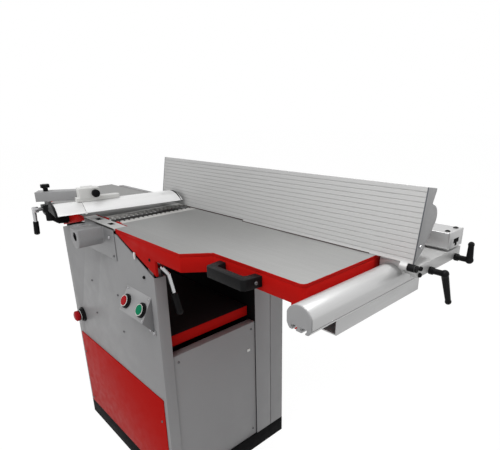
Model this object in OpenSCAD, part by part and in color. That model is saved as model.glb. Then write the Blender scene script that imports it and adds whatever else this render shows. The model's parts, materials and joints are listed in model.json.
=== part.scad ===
// Combination planer thicknesser: cabinet, cutterblock, tilting tables, fence, bridge guard and thicknesser lift.
// Millimetres. X runs along the tables to the infeed end, -Y is the operator's side, Z is up from the floor.

/* [Cabinet] */
// Cabinet length along the tables
cabinet_l = 626; // [600:2:680]
// Cabinet depth from the front panel to the rear cover
cabinet_d = 486; // [480:2:520]
// Height of the table tops above the floor
work_h = 870; // [850:5:900]
// Thickness of the cabinet sheet
sheet = 3; // [2.5:0.5:4]
// Height of the base frame
base_h = 60; // [40:5:80]
// Wall of the base frame
base_wall = 8; // [7:1:12]
// Thickness of the base plate
base_plate = 6; // [4:1:10]
// Height of the lower front door
door_h = 317; // [200:1:330]
// Depth of the front corner posts
post_d = 35; // [32:1:40]
// Top of the lower end panels
end_panel_z = 518; // [420:1:520]
// Gap between the thicknesser table and the folded tops of the end panels
ledge_gap = 2; // [1.5:0.5:6]
// Floor bolt hole diameter
floor_hole_d = 13; // [11:1:17]
// Floor bolt distance in from the outline
floor_inset = 40; // [30:1:60]
// Drop of the panel shoulder at the infeed corner
shoulder_in = 99; // [97:1:110]
// Drop of the panel shoulder at the outfeed corner
shoulder_out = 72; // [72:1:90]

/* [Cutterblock] */
// Planing width
plane_w = 310; // [290:5:314]
// Cutterblock axis along the tables
cutter_x = 13; // [5:1:20]
// Cutting circle diameter
cutter_d = 72; // [68:1:76]
// Shaft diameter in the bearings
shaft_d = 30; // [25:1:32]
// Bearing outer diameter
bearing_d = 55; // [47:1:56]
// Shaft nose diameter in the front hood
nose_d = 24; // [18:1:26]
// Cutterblock pulley diameter
cutter_pulley_d = 44; // [38:1:46]
// Feed roller diameter
roller_d = 40; // [34:1:44]
// Feed roller distance from the cutterblock axis
roller_off = 75; // [70:1:78]
// Feed roller journal diameter
journal_d = 20; // [16:1:22]
// Radial running clearance of shafts
run_fit = 0.05; // [0.03:0.01:0.08]

/* [Tables] */
// Infeed table end from the cutterblock axis
infeed_l = 754; // [720:2:790]
// Outfeed table end from the cutterblock axis
outfeed_l = 659; // [620:2:720]
// Table plate thickness
table_t = 8; // [7:0.5:10]
// Apron depth below the table top
apron_h = 47; // [44:1:55]
// Apron wall thickness
apron_t = 8; // [6:0.5:8]
// Depth of the front step of the tables
step_d = 60; // [40:1:80]
// Wide part of the tables from the cutterblock axis
near_l = 430; // [400:2:460]
// Length of the slanted front edge
chamfer_l = 50; // [30:1:70]
// Length of the throat plate
throat_l = 210; // [206:1:212]
// Apron tip drop on the infeed side
tip_in = 90; // [80:1:92]
// Apron tip drop on the outfeed side
tip_out = 62; // [55:1:64]
// Depth of the infeed end wall
end_drop = 100; // [98:1:110]
// Width of the table lips
lip_w = 33; // [30:1:36]
// Largest depth of cut of the infeed table
cut_depth = 4; // [2:0.5:4]

/* [Thicknesser] */
// Thicknesser table length
thick_l = 560; // [500:2:580]
// Thicknesser table thickness
thick_t = 35; // [30:1:45]
// Height under the cutterblock with the table lowered
thick_gap = 230; // [228:1:240]
// Lift screw diameter
screw_d = 60; // [50:1:64]
// Handwheel diameter
wheel_d = 160; // [140:2:200]
// Handwheel shaft diameter
wheel_shaft_d = 20; // [16:1:24]

/* [Fence] */
// Fence length
fence_l = 976; // [930:2:990]
// Fence height
fence_h = 158; // [150:1:175]
// Fence face distance from the front panel plane
fence_off = 299; // [290:1:300]
// Lean of the fence face
fence_lean = 10; // [8:0.5:11]
// Guide rail radius
rail_r = 31; // [29:0.5:32]
// Half width of the guide rail across its flat sides
rail_flat = 29.4; // [28:0.1:30]
// Guide rail length
rail_l = 430; // [410:2:460]
// Fence carriage length along the rail
carriage_l = 204; // [190:2:210]
// Tilt pin diameter
tilt_pin_d = 8; // [6:0.5:8]
// Beam length behind the fence
beam_l = 500; // [300:5:520]

/* [Guard] */
// Guard board width
guard_w = 120; // [110:1:124]
// Rise of the guard arch
guard_rise = 26; // [22:1:28]
// Guard board length
guard_l = 316; // [314:1:330]
// Folding flap length
flap_l = 82; // [60:1:90]
// Turn of the guard in plan
guard_turn = 9; // [8:0.5:10]
// Ridge of the guard above the tables
ridge_h = 52; // [50:1:58]
// Guard post diameter
post_rod_d = 20; // [18:1:22]

/* [Controls] */
// Control box length
box_l = 133; // [125:1:150]
// Push button cap diameter
cap_d = 28; // [24:1:30]
// Emergency knob diameter
mushroom_d = 38; // [34:1:42]
// Button stem diameter
stem_d = 16; // [12:1:18]

/* [Hidden] */
$fn = 64;
front_y = -cabinet_d / 2;
rear_y = cabinet_d / 2;
side_x = cabinet_l / 2;
cutter_z = work_h - cutter_d / 2;
cutter_y0 = front_y + 42;
cutter_y1 = cutter_y0 + plane_w;
table_rear = cutter_y1 + 3;
throat_back = front_y + 35;
table_gap = 1.5;
throat_gap = 4;
table_low = work_h - apron_h;
plate_low = work_h - table_t;
near_a = atan2(step_d, chamfer_l);
half_tan = tan(near_a / 2);
corner_r = 12;
lip_x_in = cutter_d / 2 - 5 + lip_w;
lip_edge_in = cutter_d / 2 - 5;
lip_edge_out = cutter_d / 2 - 10;
lip_x_out = lip_edge_out + lip_w;
tip_x = 313;
roller_z = cutter_z - cutter_d / 2 + roller_d / 2 - 1;
finger_x = cutter_x + 113;
finger_z = cutter_z + 8;
head_z0 = cutter_z - 44;
head_z1 = work_h - 6;
head_front_y0 = front_y + 10;
head_front_y1 = throat_back - 1;
head_rear_y0 = table_rear + 2;
head_rear_y1 = table_rear + 28;
rear_wall_y = table_rear;
rear_wall_back = rear_y - 62;
rear_wall_z = head_z0 - 3;
cover_y = rear_y - 60;
cover_z = rear_wall_z - 7;
hinge_y = table_rear + 73;
hinge_z = work_h - 55;
hinge_xs = [-300, -210, 180, 270];
hinge_pin_d = 20;
beam_y0 = table_rear + 16;
beam_y1 = table_rear + 36;
thick_z = work_h - cutter_d - thick_gap;
thick_low = thick_z - thick_t;
thick_y0 = front_y + 40;
thick_y1 = table_rear - 7;
lift_y = (thick_y0 + thick_y1) / 2;
nut_z = 320;
pedestal_r = 75;
motor_gap = 30;
motor_side = 38;
motor_d = side_x - pedestal_r - motor_gap - motor_side;
motor_x = -side_x + motor_side + motor_d / 2;
motor_z = 165;
motor_pulley_d = cutter_pulley_d * 1.68;
pulley_y0 = cover_y + 5;
pulley_y1 = cover_y + 33;
lock_y = front_y + 19;
lock_z = work_h - 69;
fence_y = front_y + fence_off;
fence_z = work_h + 1.2;
fence_x1 = cutter_x + infeed_l + 91;
fence_x0 = fence_x1 - fence_l;
tilt_y = fence_y + 2;
tilt_z = fence_z - 9.2;
rail_x = cutter_x + infeed_l + 32;
rail_z = work_h - 45;
rail_y0 = front_y + 13;
rail_y1 = rail_y0 + rail_l;
rail_low = rail_z - 22;
carriage_x0 = cutter_x + infeed_l + 5;
carriage_x1 = carriage_x0 + 90;
carriage_y0 = fence_y + 14;
carriage_y1 = carriage_y0 + carriage_l;
carriage_z0 = work_h - 32;
carriage_z1 = work_h - 6;
lug_x0 = carriage_x0 + 56;
lug_x1 = carriage_x0 + 73;
guard_x = -82;
guard_y = front_y - 10;
ridge_z = work_h + ridge_h;
arch_r = (guard_w * guard_w / 4 + guard_rise * guard_rise) / (2 * guard_rise);
guard_end_y = fence_y - 6;
arm_x = -220;
arm_y = front_y - 64;
arm_a = 56.6;
arm_z0 = ridge_z - 7;
arm_z1 = ridge_z + 23;
box_x0 = 154;
box_z1 = 709;
box_zm = 643;
box_z0 = 603;
box_deep = 35;
box_a = atan2(box_z1 - box_zm, box_deep);
button_xs = [box_x0 + 25, box_x0 + 111];
knob_x = -252;
knob_z = 471;
handle_r = 70;
handle_gap = 23;
handle_x = cutter_x + near_l + chamfer_l + handle_gap + handle_r;

// Box between two corners.
module box(a, b) {
    translate(a) cube(b - a);
}

// Round bar along X.
module bar_x(x0, x1, y, z, d) {
    translate([x0, y, z]) rotate([0, 90, 0]) cylinder(h = x1 - x0, d = d);
}

// Round bar along Y.
module bar_y(x, y0, y1, z, d) {
    translate([x, y1, z]) rotate([90, 0, 0]) cylinder(h = y1 - y0, d = d);
}

// Round bar along Z.
module bar_z(x, y, z0, z1, d) {
    translate([x, y, z0]) cylinder(h = z1 - z0, d = d);
}

// Round bar from one point to another, tapered from d to e.
module strut(p, q, d, e) {
    v = q - p;
    translate(p) rotate([0, acos(v[2] / norm(v)), atan2(v[1], v[0])]) cylinder(h = norm(v), d1 = d, d2 = e);
}

// Plan shape swept along Y between two values, drawn as X and Z.
module slab_y(y0, y1) {
    translate([0, y1, 0]) rotate([90, 0, 0]) linear_extrude(y1 - y0) children();
}

// Profile drawn as Y and Z, swept along X between two values.
module slab_x(x0, x1) {
    translate([x0, 0, 0]) rotate([90, 0, 90]) linear_extrude(x1 - x0) children();
}

// Infeed side for s = 1, mirrored outfeed side for s = -1, measured from the cutterblock axis.
module on_side(s) {
    translate([cutter_x, 0, 0]) mirror([s < 0 ? 1 : 0, 0, 0]) children();
}

function corner_pts(x, y, r) = [for (a = [-90:15:0]) [x + r * cos(a), y + r * sin(a)]];

// Table outline in plan, drawn in by i, from the lip to the table end.
function table_pts(l, lip, i) = concat([
    [throat_l / 2 + table_gap + i, front_y + i],
    [near_l - i * half_tan, front_y + i],
    [near_l + chamfer_l - i * half_tan, front_y + step_d + i]],
    corner_pts(l - corner_r, front_y + step_d + corner_r, corner_r - i), [
    [l - i, table_rear - i],
    [lip + i, table_rear - i],
    [lip + i, throat_back + throat_gap + i],
    [throat_l / 2 + table_gap + i, throat_back + throat_gap + i]]);

// Welded base with a floor plate and four bolt holes.
module base_frame() {
    color([0.2, 0.2, 0.21]) difference() {
        box([-side_x, front_y, 0], [side_x, rear_y, base_h]);
        box([-side_x + base_wall, front_y + base_wall, base_plate],
            [side_x - base_wall, rear_y - base_wall, base_h + 1]);
        for (x = [-1, 1], y = [-1, 1])
            bar_z(x * (side_x - floor_inset), y * (rear_y - floor_inset), -1, base_plate + 1, floor_hole_d);
    }
}

// Front sheet with slanted shoulders, folded posts at both ends and the bracket of the lock lever.
module front_panel() {
    z_in = work_h - shoulder_in;
    z_out = work_h - shoulder_out;
    z_mid = work_h - 18.5;
    color([0.62, 0.62, 0.62]) difference() {
        union() {
            slab_y(front_y, front_y + sheet) polygon([[-side_x, base_h], [side_x, base_h], [side_x, z_in],
                [cutter_x + throat_l / 2, z_mid], [cutter_x - throat_l / 2, z_mid], [-side_x, z_out]]);
            box([side_x - sheet, front_y, base_h], [side_x, front_y + post_d, z_in]);
            box([side_x - 20, front_y + post_d - sheet, base_h], [side_x, front_y + post_d, z_in]);
            box([-side_x, front_y, base_h], [-side_x + sheet, front_y + post_d, z_out]);
            box([-side_x, front_y + post_d - sheet, base_h], [-side_x + 20, front_y + post_d, z_out]);
            slab_x(side_x - 44, side_x - 22) polygon([[front_y + 1, z_in - 60], [front_y + 1, z_in - 6],
                [front_y + 10, z_in], [front_y + 10, lock_z + 11], [front_y + 34, lock_z + 11],
                [front_y + 34, z_in - 40], [front_y + 20, z_in - 60]]);
        }
        bar_x(side_x - 50, side_x - 18, lock_y, lock_z, 12 + 2 * run_fit);
        bar_y(cutter_x, front_y - 1, front_y + 10, cutter_z, nose_d + 8);
        bar_y(knob_x, front_y - 1, front_y + 10, knob_z, stem_d + 4 + 2 * run_fit);
    }
}

// Lower front door.
module lower_front_door() {
    color([0.63, 0.1, 0.09]) box([-side_x + 16, front_y - 3, base_h + 6], [side_x - 16, front_y, base_h + 6 + door_h]);
}

// Lower panel of one cabinet end, standing on the base between the posts.
module end_sheet() {
    box([side_x - 7, front_y + post_d, base_h], [side_x - 7 + sheet, rear_wall_y, end_panel_z]);
    box([thick_l / 2 + ledge_gap, front_y + post_d, end_panel_z - sheet], [side_x - 6, rear_wall_y, end_panel_z]);
}

// Lower panel of the infeed end.
module end_panel_infeed() {
    color([0.62, 0.62, 0.62]) end_sheet();
}

// Lower panel of the outfeed end with the bearing boss of the handwheel shaft.
module end_panel_outfeed() {
    color([0.62, 0.62, 0.62]) difference() {
        union() {
            mirror([1, 0, 0]) end_sheet();
            bar_x(-side_x + 5, -side_x + 24, lift_y, nut_z, wheel_shaft_d + 24);
        }
        bar_x(-side_x - 5, -side_x + 40, lift_y, nut_z, wheel_shaft_d + 2 * run_fit);
    }
}

// Rear wall of the thicknesser passage, folded back at both ends and at the top.
module rear_wall() {
    color([0.3, 0.3, 0.31]) difference() {
        union() {
            box([-side_x, rear_wall_y, base_h], [side_x, rear_wall_y + sheet, rear_wall_z]);
            box([-side_x, rear_wall_y, base_h], [-side_x + sheet, rear_wall_back, rear_wall_z]);
            box([side_x - sheet, rear_wall_y, base_h], [side_x, rear_wall_back, rear_wall_z]);
            box([-side_x, rear_wall_y, rear_wall_z - sheet], [side_x, rear_wall_back, rear_wall_z]);
        }
        bar_y(motor_x, rear_wall_y - 1, rear_wall_y + 10, motor_z, 60);
    }
}

// Rear cover over the belt, with a raised housing over the cutterblock pulley.
module rear_cover() {
    w = 38;
    lean = (cutter_z - cover_z) * (cutter_x - motor_x) / (cutter_z - motor_z);
    left = cutter_x - w - lean - 4;
    top = hinge_z + 52;
    color([0.62, 0.62, 0.62]) difference() {
        union() {
            box([-side_x, cover_y, base_h], [side_x, rear_y, cover_z]);
            box([left, cover_y, cover_z - 20], [cutter_x + w, cover_y + 43, top]);
        }
        box([-side_x + sheet, cover_y - 1, base_h - 1], [side_x - sheet, rear_y - sheet, cover_z - sheet]);
        box([left + sheet, cover_y - 1, cover_z - 30], [cutter_x + w - sheet, cover_y + 43 - sheet, top - sheet]);
    }
}

// Bores shared by both heads: bearing, feed roller journals and finger shaft.
module head_bores(y0, y1) {
    bar_y(cutter_x, y0, y1, cutter_z, bearing_d + 2 * run_fit);
    for (s = [-1, 1])
        bar_y(cutter_x + s * roller_off, y0, y1, roller_z, journal_d + 2 * run_fit);
    bar_y(finger_x, y0, y1, finger_z, 12 + 2 * run_fit);
}

// Front head with the cutterblock bearing seat, bolted to the front panel.
module head_front() {
    color([0.35, 0.35, 0.36]) difference() {
        union() {
            box([cutter_x - 103, head_front_y0, head_z0], [cutter_x + 127, head_front_y1, head_z1]);
            box([cutter_x - 100, front_y + sheet, head_z0], [cutter_x - 50, head_front_y0 + 1, work_h - 24]);
            box([cutter_x + 50, front_y + sheet, head_z0], [cutter_x + 88, head_front_y0 + 1, work_h - 24]);
        }
        head_bores(head_front_y0 - 20, head_front_y1 + 1);
        box([cutter_x + throat_l / 2 - 1, head_front_y0 - 1, plate_low - cut_depth - 0.5],
            [cutter_x + 130, head_front_y1 + 1, work_h]);
    }
}

// Rear head with the cutterblock bearing seat, standing on the rear wall.
module head_rear() {
    color([0.35, 0.35, 0.36]) difference() {
        box([cutter_x - 103, head_rear_y0, rear_wall_z], [cutter_x + 127, head_rear_y1, head_z1]);
        head_bores(head_rear_y0 - 1, head_rear_y1 + 1);
    }
}

// One bearing ring between two values of Y.
module bearing_ring(y0, y1) {
    difference() {
        bar_y(cutter_x, y0, y1, cutter_z, bearing_d);
        bar_y(cutter_x, y0 - 1, y1 + 1, cutter_z, shaft_d + 2 * run_fit);
    }
}

// The two cutterblock bearings.
module cutter_bearings() {
    color([0.75, 0.75, 0.77]) {
        bearing_ring(head_front_y0 + 3, head_front_y1 - 3);
        bearing_ring(head_rear_y0 + 3, head_rear_y1 - 3);
    }
}

// Round-bottomed shape of the hood, drawn in by i.
module hood_shape(i) {
    r = 29 - i;
    translate([cutter_x, cutter_z]) {
        circle(r = r);
        translate([-r, 0]) square([2 * r, head_z1 + 2 - cutter_z - i]);
    }
}

// Front cover plate with the hood over the shaft nose.
module bearing_cover() {
    color([0.78, 0.78, 0.78]) difference() {
        union() {
            box([cutter_x - throat_l / 2 - 1, front_y - 3, cutter_z - 63], [cutter_x + throat_l / 2 - 10, front_y, head_z1]);
            slab_y(front_y - 78, front_y - 1) intersection() {
                hood_shape(0);
                translate([cutter_x - 60, cutter_z - 60]) square([120, head_z1 - cutter_z + 60]);
            }
        }
        slab_y(front_y - 75, front_y - 5) intersection() {
            hood_shape(3);
            translate([cutter_x - 60, cutter_z - 60]) square([120, head_z1 - 3 - cutter_z + 60]);
        }
        bar_y(cutter_x, front_y - 6, front_y + 1, cutter_z, nose_d + 6);
        bar_y(cutter_x, front_y - 80, front_y - 70, cutter_z + 7, 26);
    }
}

// Bright plate over the front head, with two square holes.
module throat_plate() {
    color([0.85, 0.85, 0.86]) difference() {
        box([cutter_x - throat_l / 2, front_y - 4, head_z1], [cutter_x + throat_l / 2, throat_back, work_h]);
        for (x = [-42, 44])
            box([cutter_x + x - 13, front_y + 10, work_h - 3], [cutter_x + x + 13, front_y + 25, work_h + 1]);
    }
}

// Section of the control box in Y and Z, drawn in by i.
module box_section(i) {
    polygon([[front_y + (i > 0 ? 1 : 0), box_z1 - 2.4 * i], [front_y - box_deep + 1.25 * i, box_zm - 0.1 * i],
        [front_y + (i > 0 ? 1 : 0), box_z0 + 1.7 * i]]);
}

// Frame on the slanted control face at x, a little below its middle, with its third axis pointing out.
module on_face(x) {
    translate([x, front_y - box_deep / 2, (box_z1 + box_zm) / 2]) rotate([box_a, 0, 0]) translate([0, -5, 0])
        children();
}

// Wedge-shaped control box.
module control_box() {
    color([0.62, 0.62, 0.62]) difference() {
        slab_x(box_x0, box_x0 + box_l) box_section(0);
        slab_x(box_x0 + 3, box_x0 + box_l - 3) box_section(2.6);
        for (x = button_xs)
            on_face(x) translate([0, 0, -10]) cylinder(h = 20, d = stem_d + 2 * run_fit);
    }
}

// Stepped ring on a face, bored for its button.
module bezel(base_d, base_t, ring_d, ring_t, bore) {
    difference() {
        union() {
            cylinder(h = base_t, d = base_d);
            cylinder(h = ring_t, d = ring_d);
        }
        translate([0, 0, -1]) cylinder(h = ring_t + 2, d = bore);
    }
}

// Frame on the front panel at the emergency knob.
module on_panel() {
    translate([knob_x, front_y, knob_z]) rotate([90, 0, 0]) children();
}

// Bezels of the three buttons.
module button_bezels() {
    color([0.1, 0.1, 0.1]) {
        for (x = button_xs)
            on_face(x) bezel(cap_d + 14, 4, cap_d + 6, 10, cap_d + 0.8);
        on_panel() bezel(mushroom_d + 16, 6, mushroom_d + 6, 14, stem_d + 4 + 2 * run_fit);
    }
}

// Electric motor on two feet.
module motor() {
    y0 = lift_y - 120;
    y1 = lift_y + 130;
    foot_x = motor_d / 2 - 15;
    box_x = motor_d / 2 - 40;
    color([0.25, 0.3, 0.36]) difference() {
        union() {
            bar_y(motor_x, y0, y1, motor_z, motor_d);
            bar_y(motor_x, y1 - 1, y1 + 14, motor_z, motor_d - 60);
            box([motor_x - foot_x, y0 + 40, base_plate], [motor_x - foot_x + 30, y1 - 40, motor_z]);
            box([motor_x + foot_x - 30, y0 + 40, base_plate], [motor_x + foot_x, y1 - 40, motor_z]);
            box([motor_x - box_x, y0 + 60, motor_z], [motor_x + box_x, y0 + 150, motor_z + motor_d / 2 + 20]);
        }
        bar_y(motor_x, y1 - 40, y1 + 20, motor_z, 24 + 2 * run_fit);
    }
}

// Loop shape round both pulleys at distance g outside them.
module belt_shape(g) {
    dx = cutter_x - motor_x;
    dz = cutter_z - motor_z;
    d = norm([dx, dz]);
    r1 = motor_pulley_d / 2 + g;
    r2 = cutter_pulley_d / 2 + g;
    s = (r1 - r2) / d;
    k = sqrt(1 - s * s);
    q1 = r1 - 0.15;
    q2 = r2 - 0.15;
    translate([motor_x, motor_z]) rotate(atan2(dz, dx)) {
        circle(r = r1);
        translate([d, 0]) circle(r = r2);
        polygon([[q1 * s, q1 * k], [q1 * s, -q1 * k], [d + q2 * s, -q2 * k], [d + q2 * s, q2 * k]]);
    }
}

// Drive belt from the motor to the cutterblock.
module drive_belt() {
    color([0.08, 0.08, 0.08]) slab_y(pulley_y0 + 3, pulley_y1 - 3) difference() {
        belt_shape(6.3);
        belt_shape(0.3);
    }
}

// Pedestal that guides the lift screw and holds the lift nut.
module lift_pedestal() {
    color([0.35, 0.35, 0.36]) difference() {
        box([-pedestal_r, lift_y - 75, base_plate], [pedestal_r, lift_y + 75, nut_z + 120]);
        bar_z(0, lift_y, base_plate - 1, nut_z + 130, screw_d + 2 * run_fit);
        bar_z(0, lift_y, nut_z - 24, nut_z + 22, 122);
        box([-pedestal_r - 1, lift_y - 40, nut_z - 24], [-40, lift_y + 40, nut_z + 22]);
        box([40, lift_y - 40, nut_z - 24], [pedestal_r + 1, lift_y + 40, nut_z + 22]);
    }
}

// Bearing blocks of the table hinges on top of the rear wall.
module hinge_blocks() {
    color([0.3, 0.3, 0.31]) for (x = hinge_xs) difference() {
        union() {
            box([x, rear_wall_y + 30, rear_wall_z], [x + 14, hinge_y + 14, rear_wall_z + 9]);
            box([x, hinge_y - 14, rear_wall_z], [x + 14, hinge_y + 14, hinge_z]);
            bar_x(x, x + 14, hinge_y, hinge_z, 28);
        }
        bar_x(x - 1, x + 15, hinge_y, hinge_z, hinge_pin_d + 2 * run_fit);
    }
}

// Cutterblock body with four gullets and its stepped shaft.
module cutter_head() {
    color([0.6, 0.6, 0.62]) difference() {
        union() {
            bar_y(cutter_x, cutter_y0, cutter_y1, cutter_z, cutter_d - 4);
            bar_y(cutter_x, head_front_y0, cutter_y1 + 30, cutter_z, shaft_d);
            bar_y(cutter_x, front_y - 34, cutter_y0 + 5, cutter_z, nose_d);
            bar_y(cutter_x, cutter_y1, pulley_y0, cutter_z, 28);
            bar_y(cutter_x, pulley_y0 - 1, pulley_y1 + 2, cutter_z, 20);
        }
        for (a = [45:90:315])
            bar_y(cutter_x + cos(a) * (cutter_d / 2 - 1), cutter_y0 - 1, cutter_y1 + 1,
                cutter_z + sin(a) * (cutter_d / 2 - 1), 16);
    }
}

// Pulley pressed on the cutterblock shaft.
module cutter_pulley() {
    color([0.7, 0.7, 0.72]) difference() {
        bar_y(cutter_x, pulley_y0, pulley_y1, cutter_z, cutter_pulley_d);
        bar_y(cutter_x, pulley_y0 - 1, pulley_y1 + 1, cutter_z, 20 + 0.02);
    }
}

// Motor shaft with its pulley.
module motor_pulley() {
    color([0.7, 0.7, 0.72]) {
        bar_y(motor_x, lift_y + 95, pulley_y1 + 2, motor_z, 24);
        bar_y(motor_x, pulley_y0, pulley_y1, motor_z, motor_pulley_d);
    }
}

// Feed roller with journals, s = 1 on the infeed side.
module roller(s) {
    x = cutter_x + s * roller_off;
    bar_y(x, cutter_y0 + 2, cutter_y1 - 2, roller_z, roller_d);
    bar_y(x, head_front_y0 + 1, head_rear_y1 - 1, roller_z, journal_d);
}

// Fluted infeed roller.
module infeed_roller() {
    x = cutter_x + roller_off;
    color([0.55, 0.55, 0.57]) difference() {
        roller(1);
        for (a = [0:30:330])
            bar_y(x + cos(a) * roller_d / 2, cutter_y0 + 1, cutter_y1 - 1, roller_z + sin(a) * roller_d / 2, 4);
    }
}

// Smooth outfeed roller.
module outfeed_roller() {
    color([0.55, 0.55, 0.57]) roller(-1);
}

// Row of anti-kickback fingers on their shaft.
module kickback_fingers() {
    n = floor((plane_w - 20) / 15);
    color([0.4, 0.4, 0.42]) {
        bar_y(finger_x, head_front_y0 + 1, head_rear_y1 - 1, finger_z, 12);
        for (i = [0:n])
            slab_y(cutter_y0 + 8 + i * 15, cutter_y0 + 16 + i * 15) translate([finger_x, finger_z])
                polygon([[-8, 9], [8, 9], [10, -20], [5, -42], [-1, -42], [-6, -20]]);
    }
}

// Thicknesser table.
module thickness_table() {
    color([0.6, 0.12, 0.11]) difference() {
        box([-thick_l / 2, thick_y0, thick_low], [thick_l / 2, thick_y1, thick_z]);
        box([-thick_l / 2 + 12, thick_y0 + 12, thick_low - 1], [-60, thick_y1 - 12, thick_z - 12]);
        box([60, thick_y0 + 12, thick_low - 1], [thick_l / 2 - 12, thick_y1 - 12, thick_z - 12]);
    }
}

// Lift screw under the thicknesser table.
module lift_screw() {
    color([0.6, 0.6, 0.62]) {
        bar_z(0, lift_y, nut_z - 250, thick_low, screw_d);
        bar_z(0, lift_y, thick_low - 12, thick_low, screw_d + 44);
    }
}

// Rotating nut round the lift screw, with a bevelled rim.
module lift_nut() {
    color([0.72, 0.6, 0.3]) difference() {
        union() {
            bar_z(0, lift_y, nut_z - 23, nut_z - 11, 118);
            translate([0, lift_y, nut_z - 11]) cylinder(h = 12, d1 = 118, d2 = 94);
            bar_z(0, lift_y, nut_z + 0.5, nut_z + 21, screw_d + 20);
        }
        bar_z(0, lift_y, nut_z - 30, nut_z + 30, screw_d + 2 * run_fit);
    }
}

// Handwheel with shaft, bevel pinion and crank grip on the outfeed end.
module handwheel() {
    xw = -side_x - 36;
    color([0.12, 0.12, 0.12]) {
        bar_x(xw, -80, lift_y, nut_z, wheel_shaft_d);
        translate([-84, lift_y, nut_z]) rotate([0, 90, 0]) cylinder(h = 12, d1 = wheel_shaft_d + 8, d2 = wheel_shaft_d);
        difference() {
            bar_x(xw - 18, xw, lift_y, nut_z, wheel_d);
            bar_x(xw - 19, xw - 8, lift_y, nut_z, wheel_d - 30);
        }
        bar_x(xw - 24, xw + 14, lift_y, nut_z, 44);
        bar_x(xw - 70, xw - 10, lift_y, nut_z + wheel_d / 2 - 22, 12);
        bar_x(xw - 70, xw - 20, lift_y, nut_z + wheel_d / 2 - 22, 24);
    }
}

// Table plate of one side.
module table_plate(l, lip) {
    translate([0, 0, plate_low]) linear_extrude(table_t) polygon(table_pts(l, lip, 0));
}

// Apron of one side, with the slanted front wall that follows the panel shoulder.
module apron(l, lip, tip) {
    x0 = throat_l / 2 + table_gap;
    translate([0, 0, table_low]) linear_extrude(plate_low - table_low) difference() {
        polygon(table_pts(l, lip, 0));
        polygon(table_pts(l, lip, apron_t));
        translate([0, front_y - 1]) square([near_l - 12, table_rear - apron_t - front_y + 1]);
        translate([0, table_rear - apron_t - 1]) square([140, apron_t + 2]);
    }
    slab_y(front_y, front_y + apron_t) polygon([[x0, plate_low], [x0, work_h - 13], [tip_x, work_h - tip],
        [tip_x, table_low], [near_l - 11, table_low], [near_l - 11, plate_low]]);
}

// Toothed steel lip of one side.
module lip_strip(edge, lip) {
    y0 = throat_back + throat_gap;
    n = floor((table_rear - y0 - 14) / 16);
    difference() {
        box([edge, y0, plate_low], [lip, table_rear, work_h]);
        for (i = [0:n])
            box([edge - 1, y0 + 7 + i * 16, plate_low - 1], [edge + 15, y0 + 14 + i * 16, work_h + 1]);
    }
}

// Outfeed table plate.
module outfeed_table() {
    color([0.6, 0.6, 0.61]) on_side(-1) table_plate(outfeed_l, lip_x_out);
}

// Outfeed apron.
module outfeed_apron() {
    color([0.63, 0.1, 0.09]) on_side(-1) apron(outfeed_l, lip_x_out, tip_out);
}

// Outfeed lip.
module outfeed_lip() {
    color([0.8, 0.8, 0.82]) on_side(-1) lip_strip(lip_edge_out, lip_x_out);
}

// Rear beams of both tables with the tie bar, hinge lugs and hinge pins.
module table_beams() {
    z0 = work_h - 64;
    z1 = work_h - 4;
    color([0.3, 0.3, 0.31]) {
        box([cutter_x + 137, beam_y0, z0], [cutter_x + infeed_l - 54, beam_y1, z1]);
        box([cutter_x - outfeed_l + 39, beam_y0, z0], [cutter_x - 118, beam_y1, z1]);
        box([cutter_x - 140, beam_y0 - 14, z1 - 1.5], [cutter_x + 160, beam_y0 + 11, z1 + 3.5]);
        for (x = [-560, -270])
            box([cutter_x + x, table_rear, z0 + 4], [cutter_x + x + 80, beam_y0 + 1, plate_low]);
        for (x = hinge_xs) {
            box([x + 14.5, beam_y1 - 1, hinge_z - 14], [x + 28.5, hinge_y, hinge_z + 14]);
            bar_x(x + 14.5, x + 28.5, hinge_y, hinge_z, 28);
            bar_x(x - 2, x + 28, hinge_y, hinge_z, hinge_pin_d);
        }
    }
}

// Curved side of the guard bracket, from the outfeed apron up to the column, in Y and Z.
module bracket_side() {
    polygon([[front_y - 4, work_h - 44], [front_y - 33, work_h - 40.5], [front_y - 50, work_h - 31],
        [arm_y + 1, work_h - 18], [arm_y - 9, work_h - 2], [arm_y - 13.2, work_h + 14], [arm_y - 13.2, work_h + 28],
        [arm_y + 11, work_h + 28], [arm_y + 17, work_h + 14], [front_y - 33, work_h - 2],
        [front_y - 15, work_h - 12], [front_y - 4, work_h - 14]]);
}

// Guard bracket on the outfeed apron, with the clamping column of the guard post.
module guard_base() {
    color([0.08, 0.08, 0.08]) difference() {
        union() {
            box([arm_x - 62, front_y - 8, work_h - 40], [arm_x - 14, front_y, work_h - 13]);
            slab_x(arm_x - 38, arm_x - 14) bracket_side();
            slab_x(arm_x - 20, arm_x + 13) intersection() {
                bracket_side();
                translate([arm_y - 40, work_h - 50]) square([62, 100]);
            }
            bar_z(arm_x, arm_y, work_h + 9, work_h + 32, post_rod_d + 18);
            bar_z(arm_x, arm_y, work_h - 21, work_h + 12, post_rod_d + 7);
        }
        bar_z(arm_x, arm_y, work_h - 50, work_h + 40, post_rod_d + 2 * run_fit);
        bar_y(arm_x, arm_y - 40, arm_y, work_h + 20, 12 + 2 * run_fit);
    }
}

// Infeed table plate with the slide blocks that run on the rear beam.
module infeed_table() {
    color([0.6, 0.6, 0.61]) {
        on_side(1) table_plate(infeed_l, lip_x_in);
        for (x = [207, infeed_l - 227]) {
            box([cutter_x + x, table_rear - 5, plate_low], [cutter_x + x + 80, beam_y0 - 0.1, plate_low + 7]);
            box([cutter_x + x, table_rear + 0.2, work_h - 60], [cutter_x + x + 80, beam_y0 - 0.1, plate_low + 7]);
        }
    }
}

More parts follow.
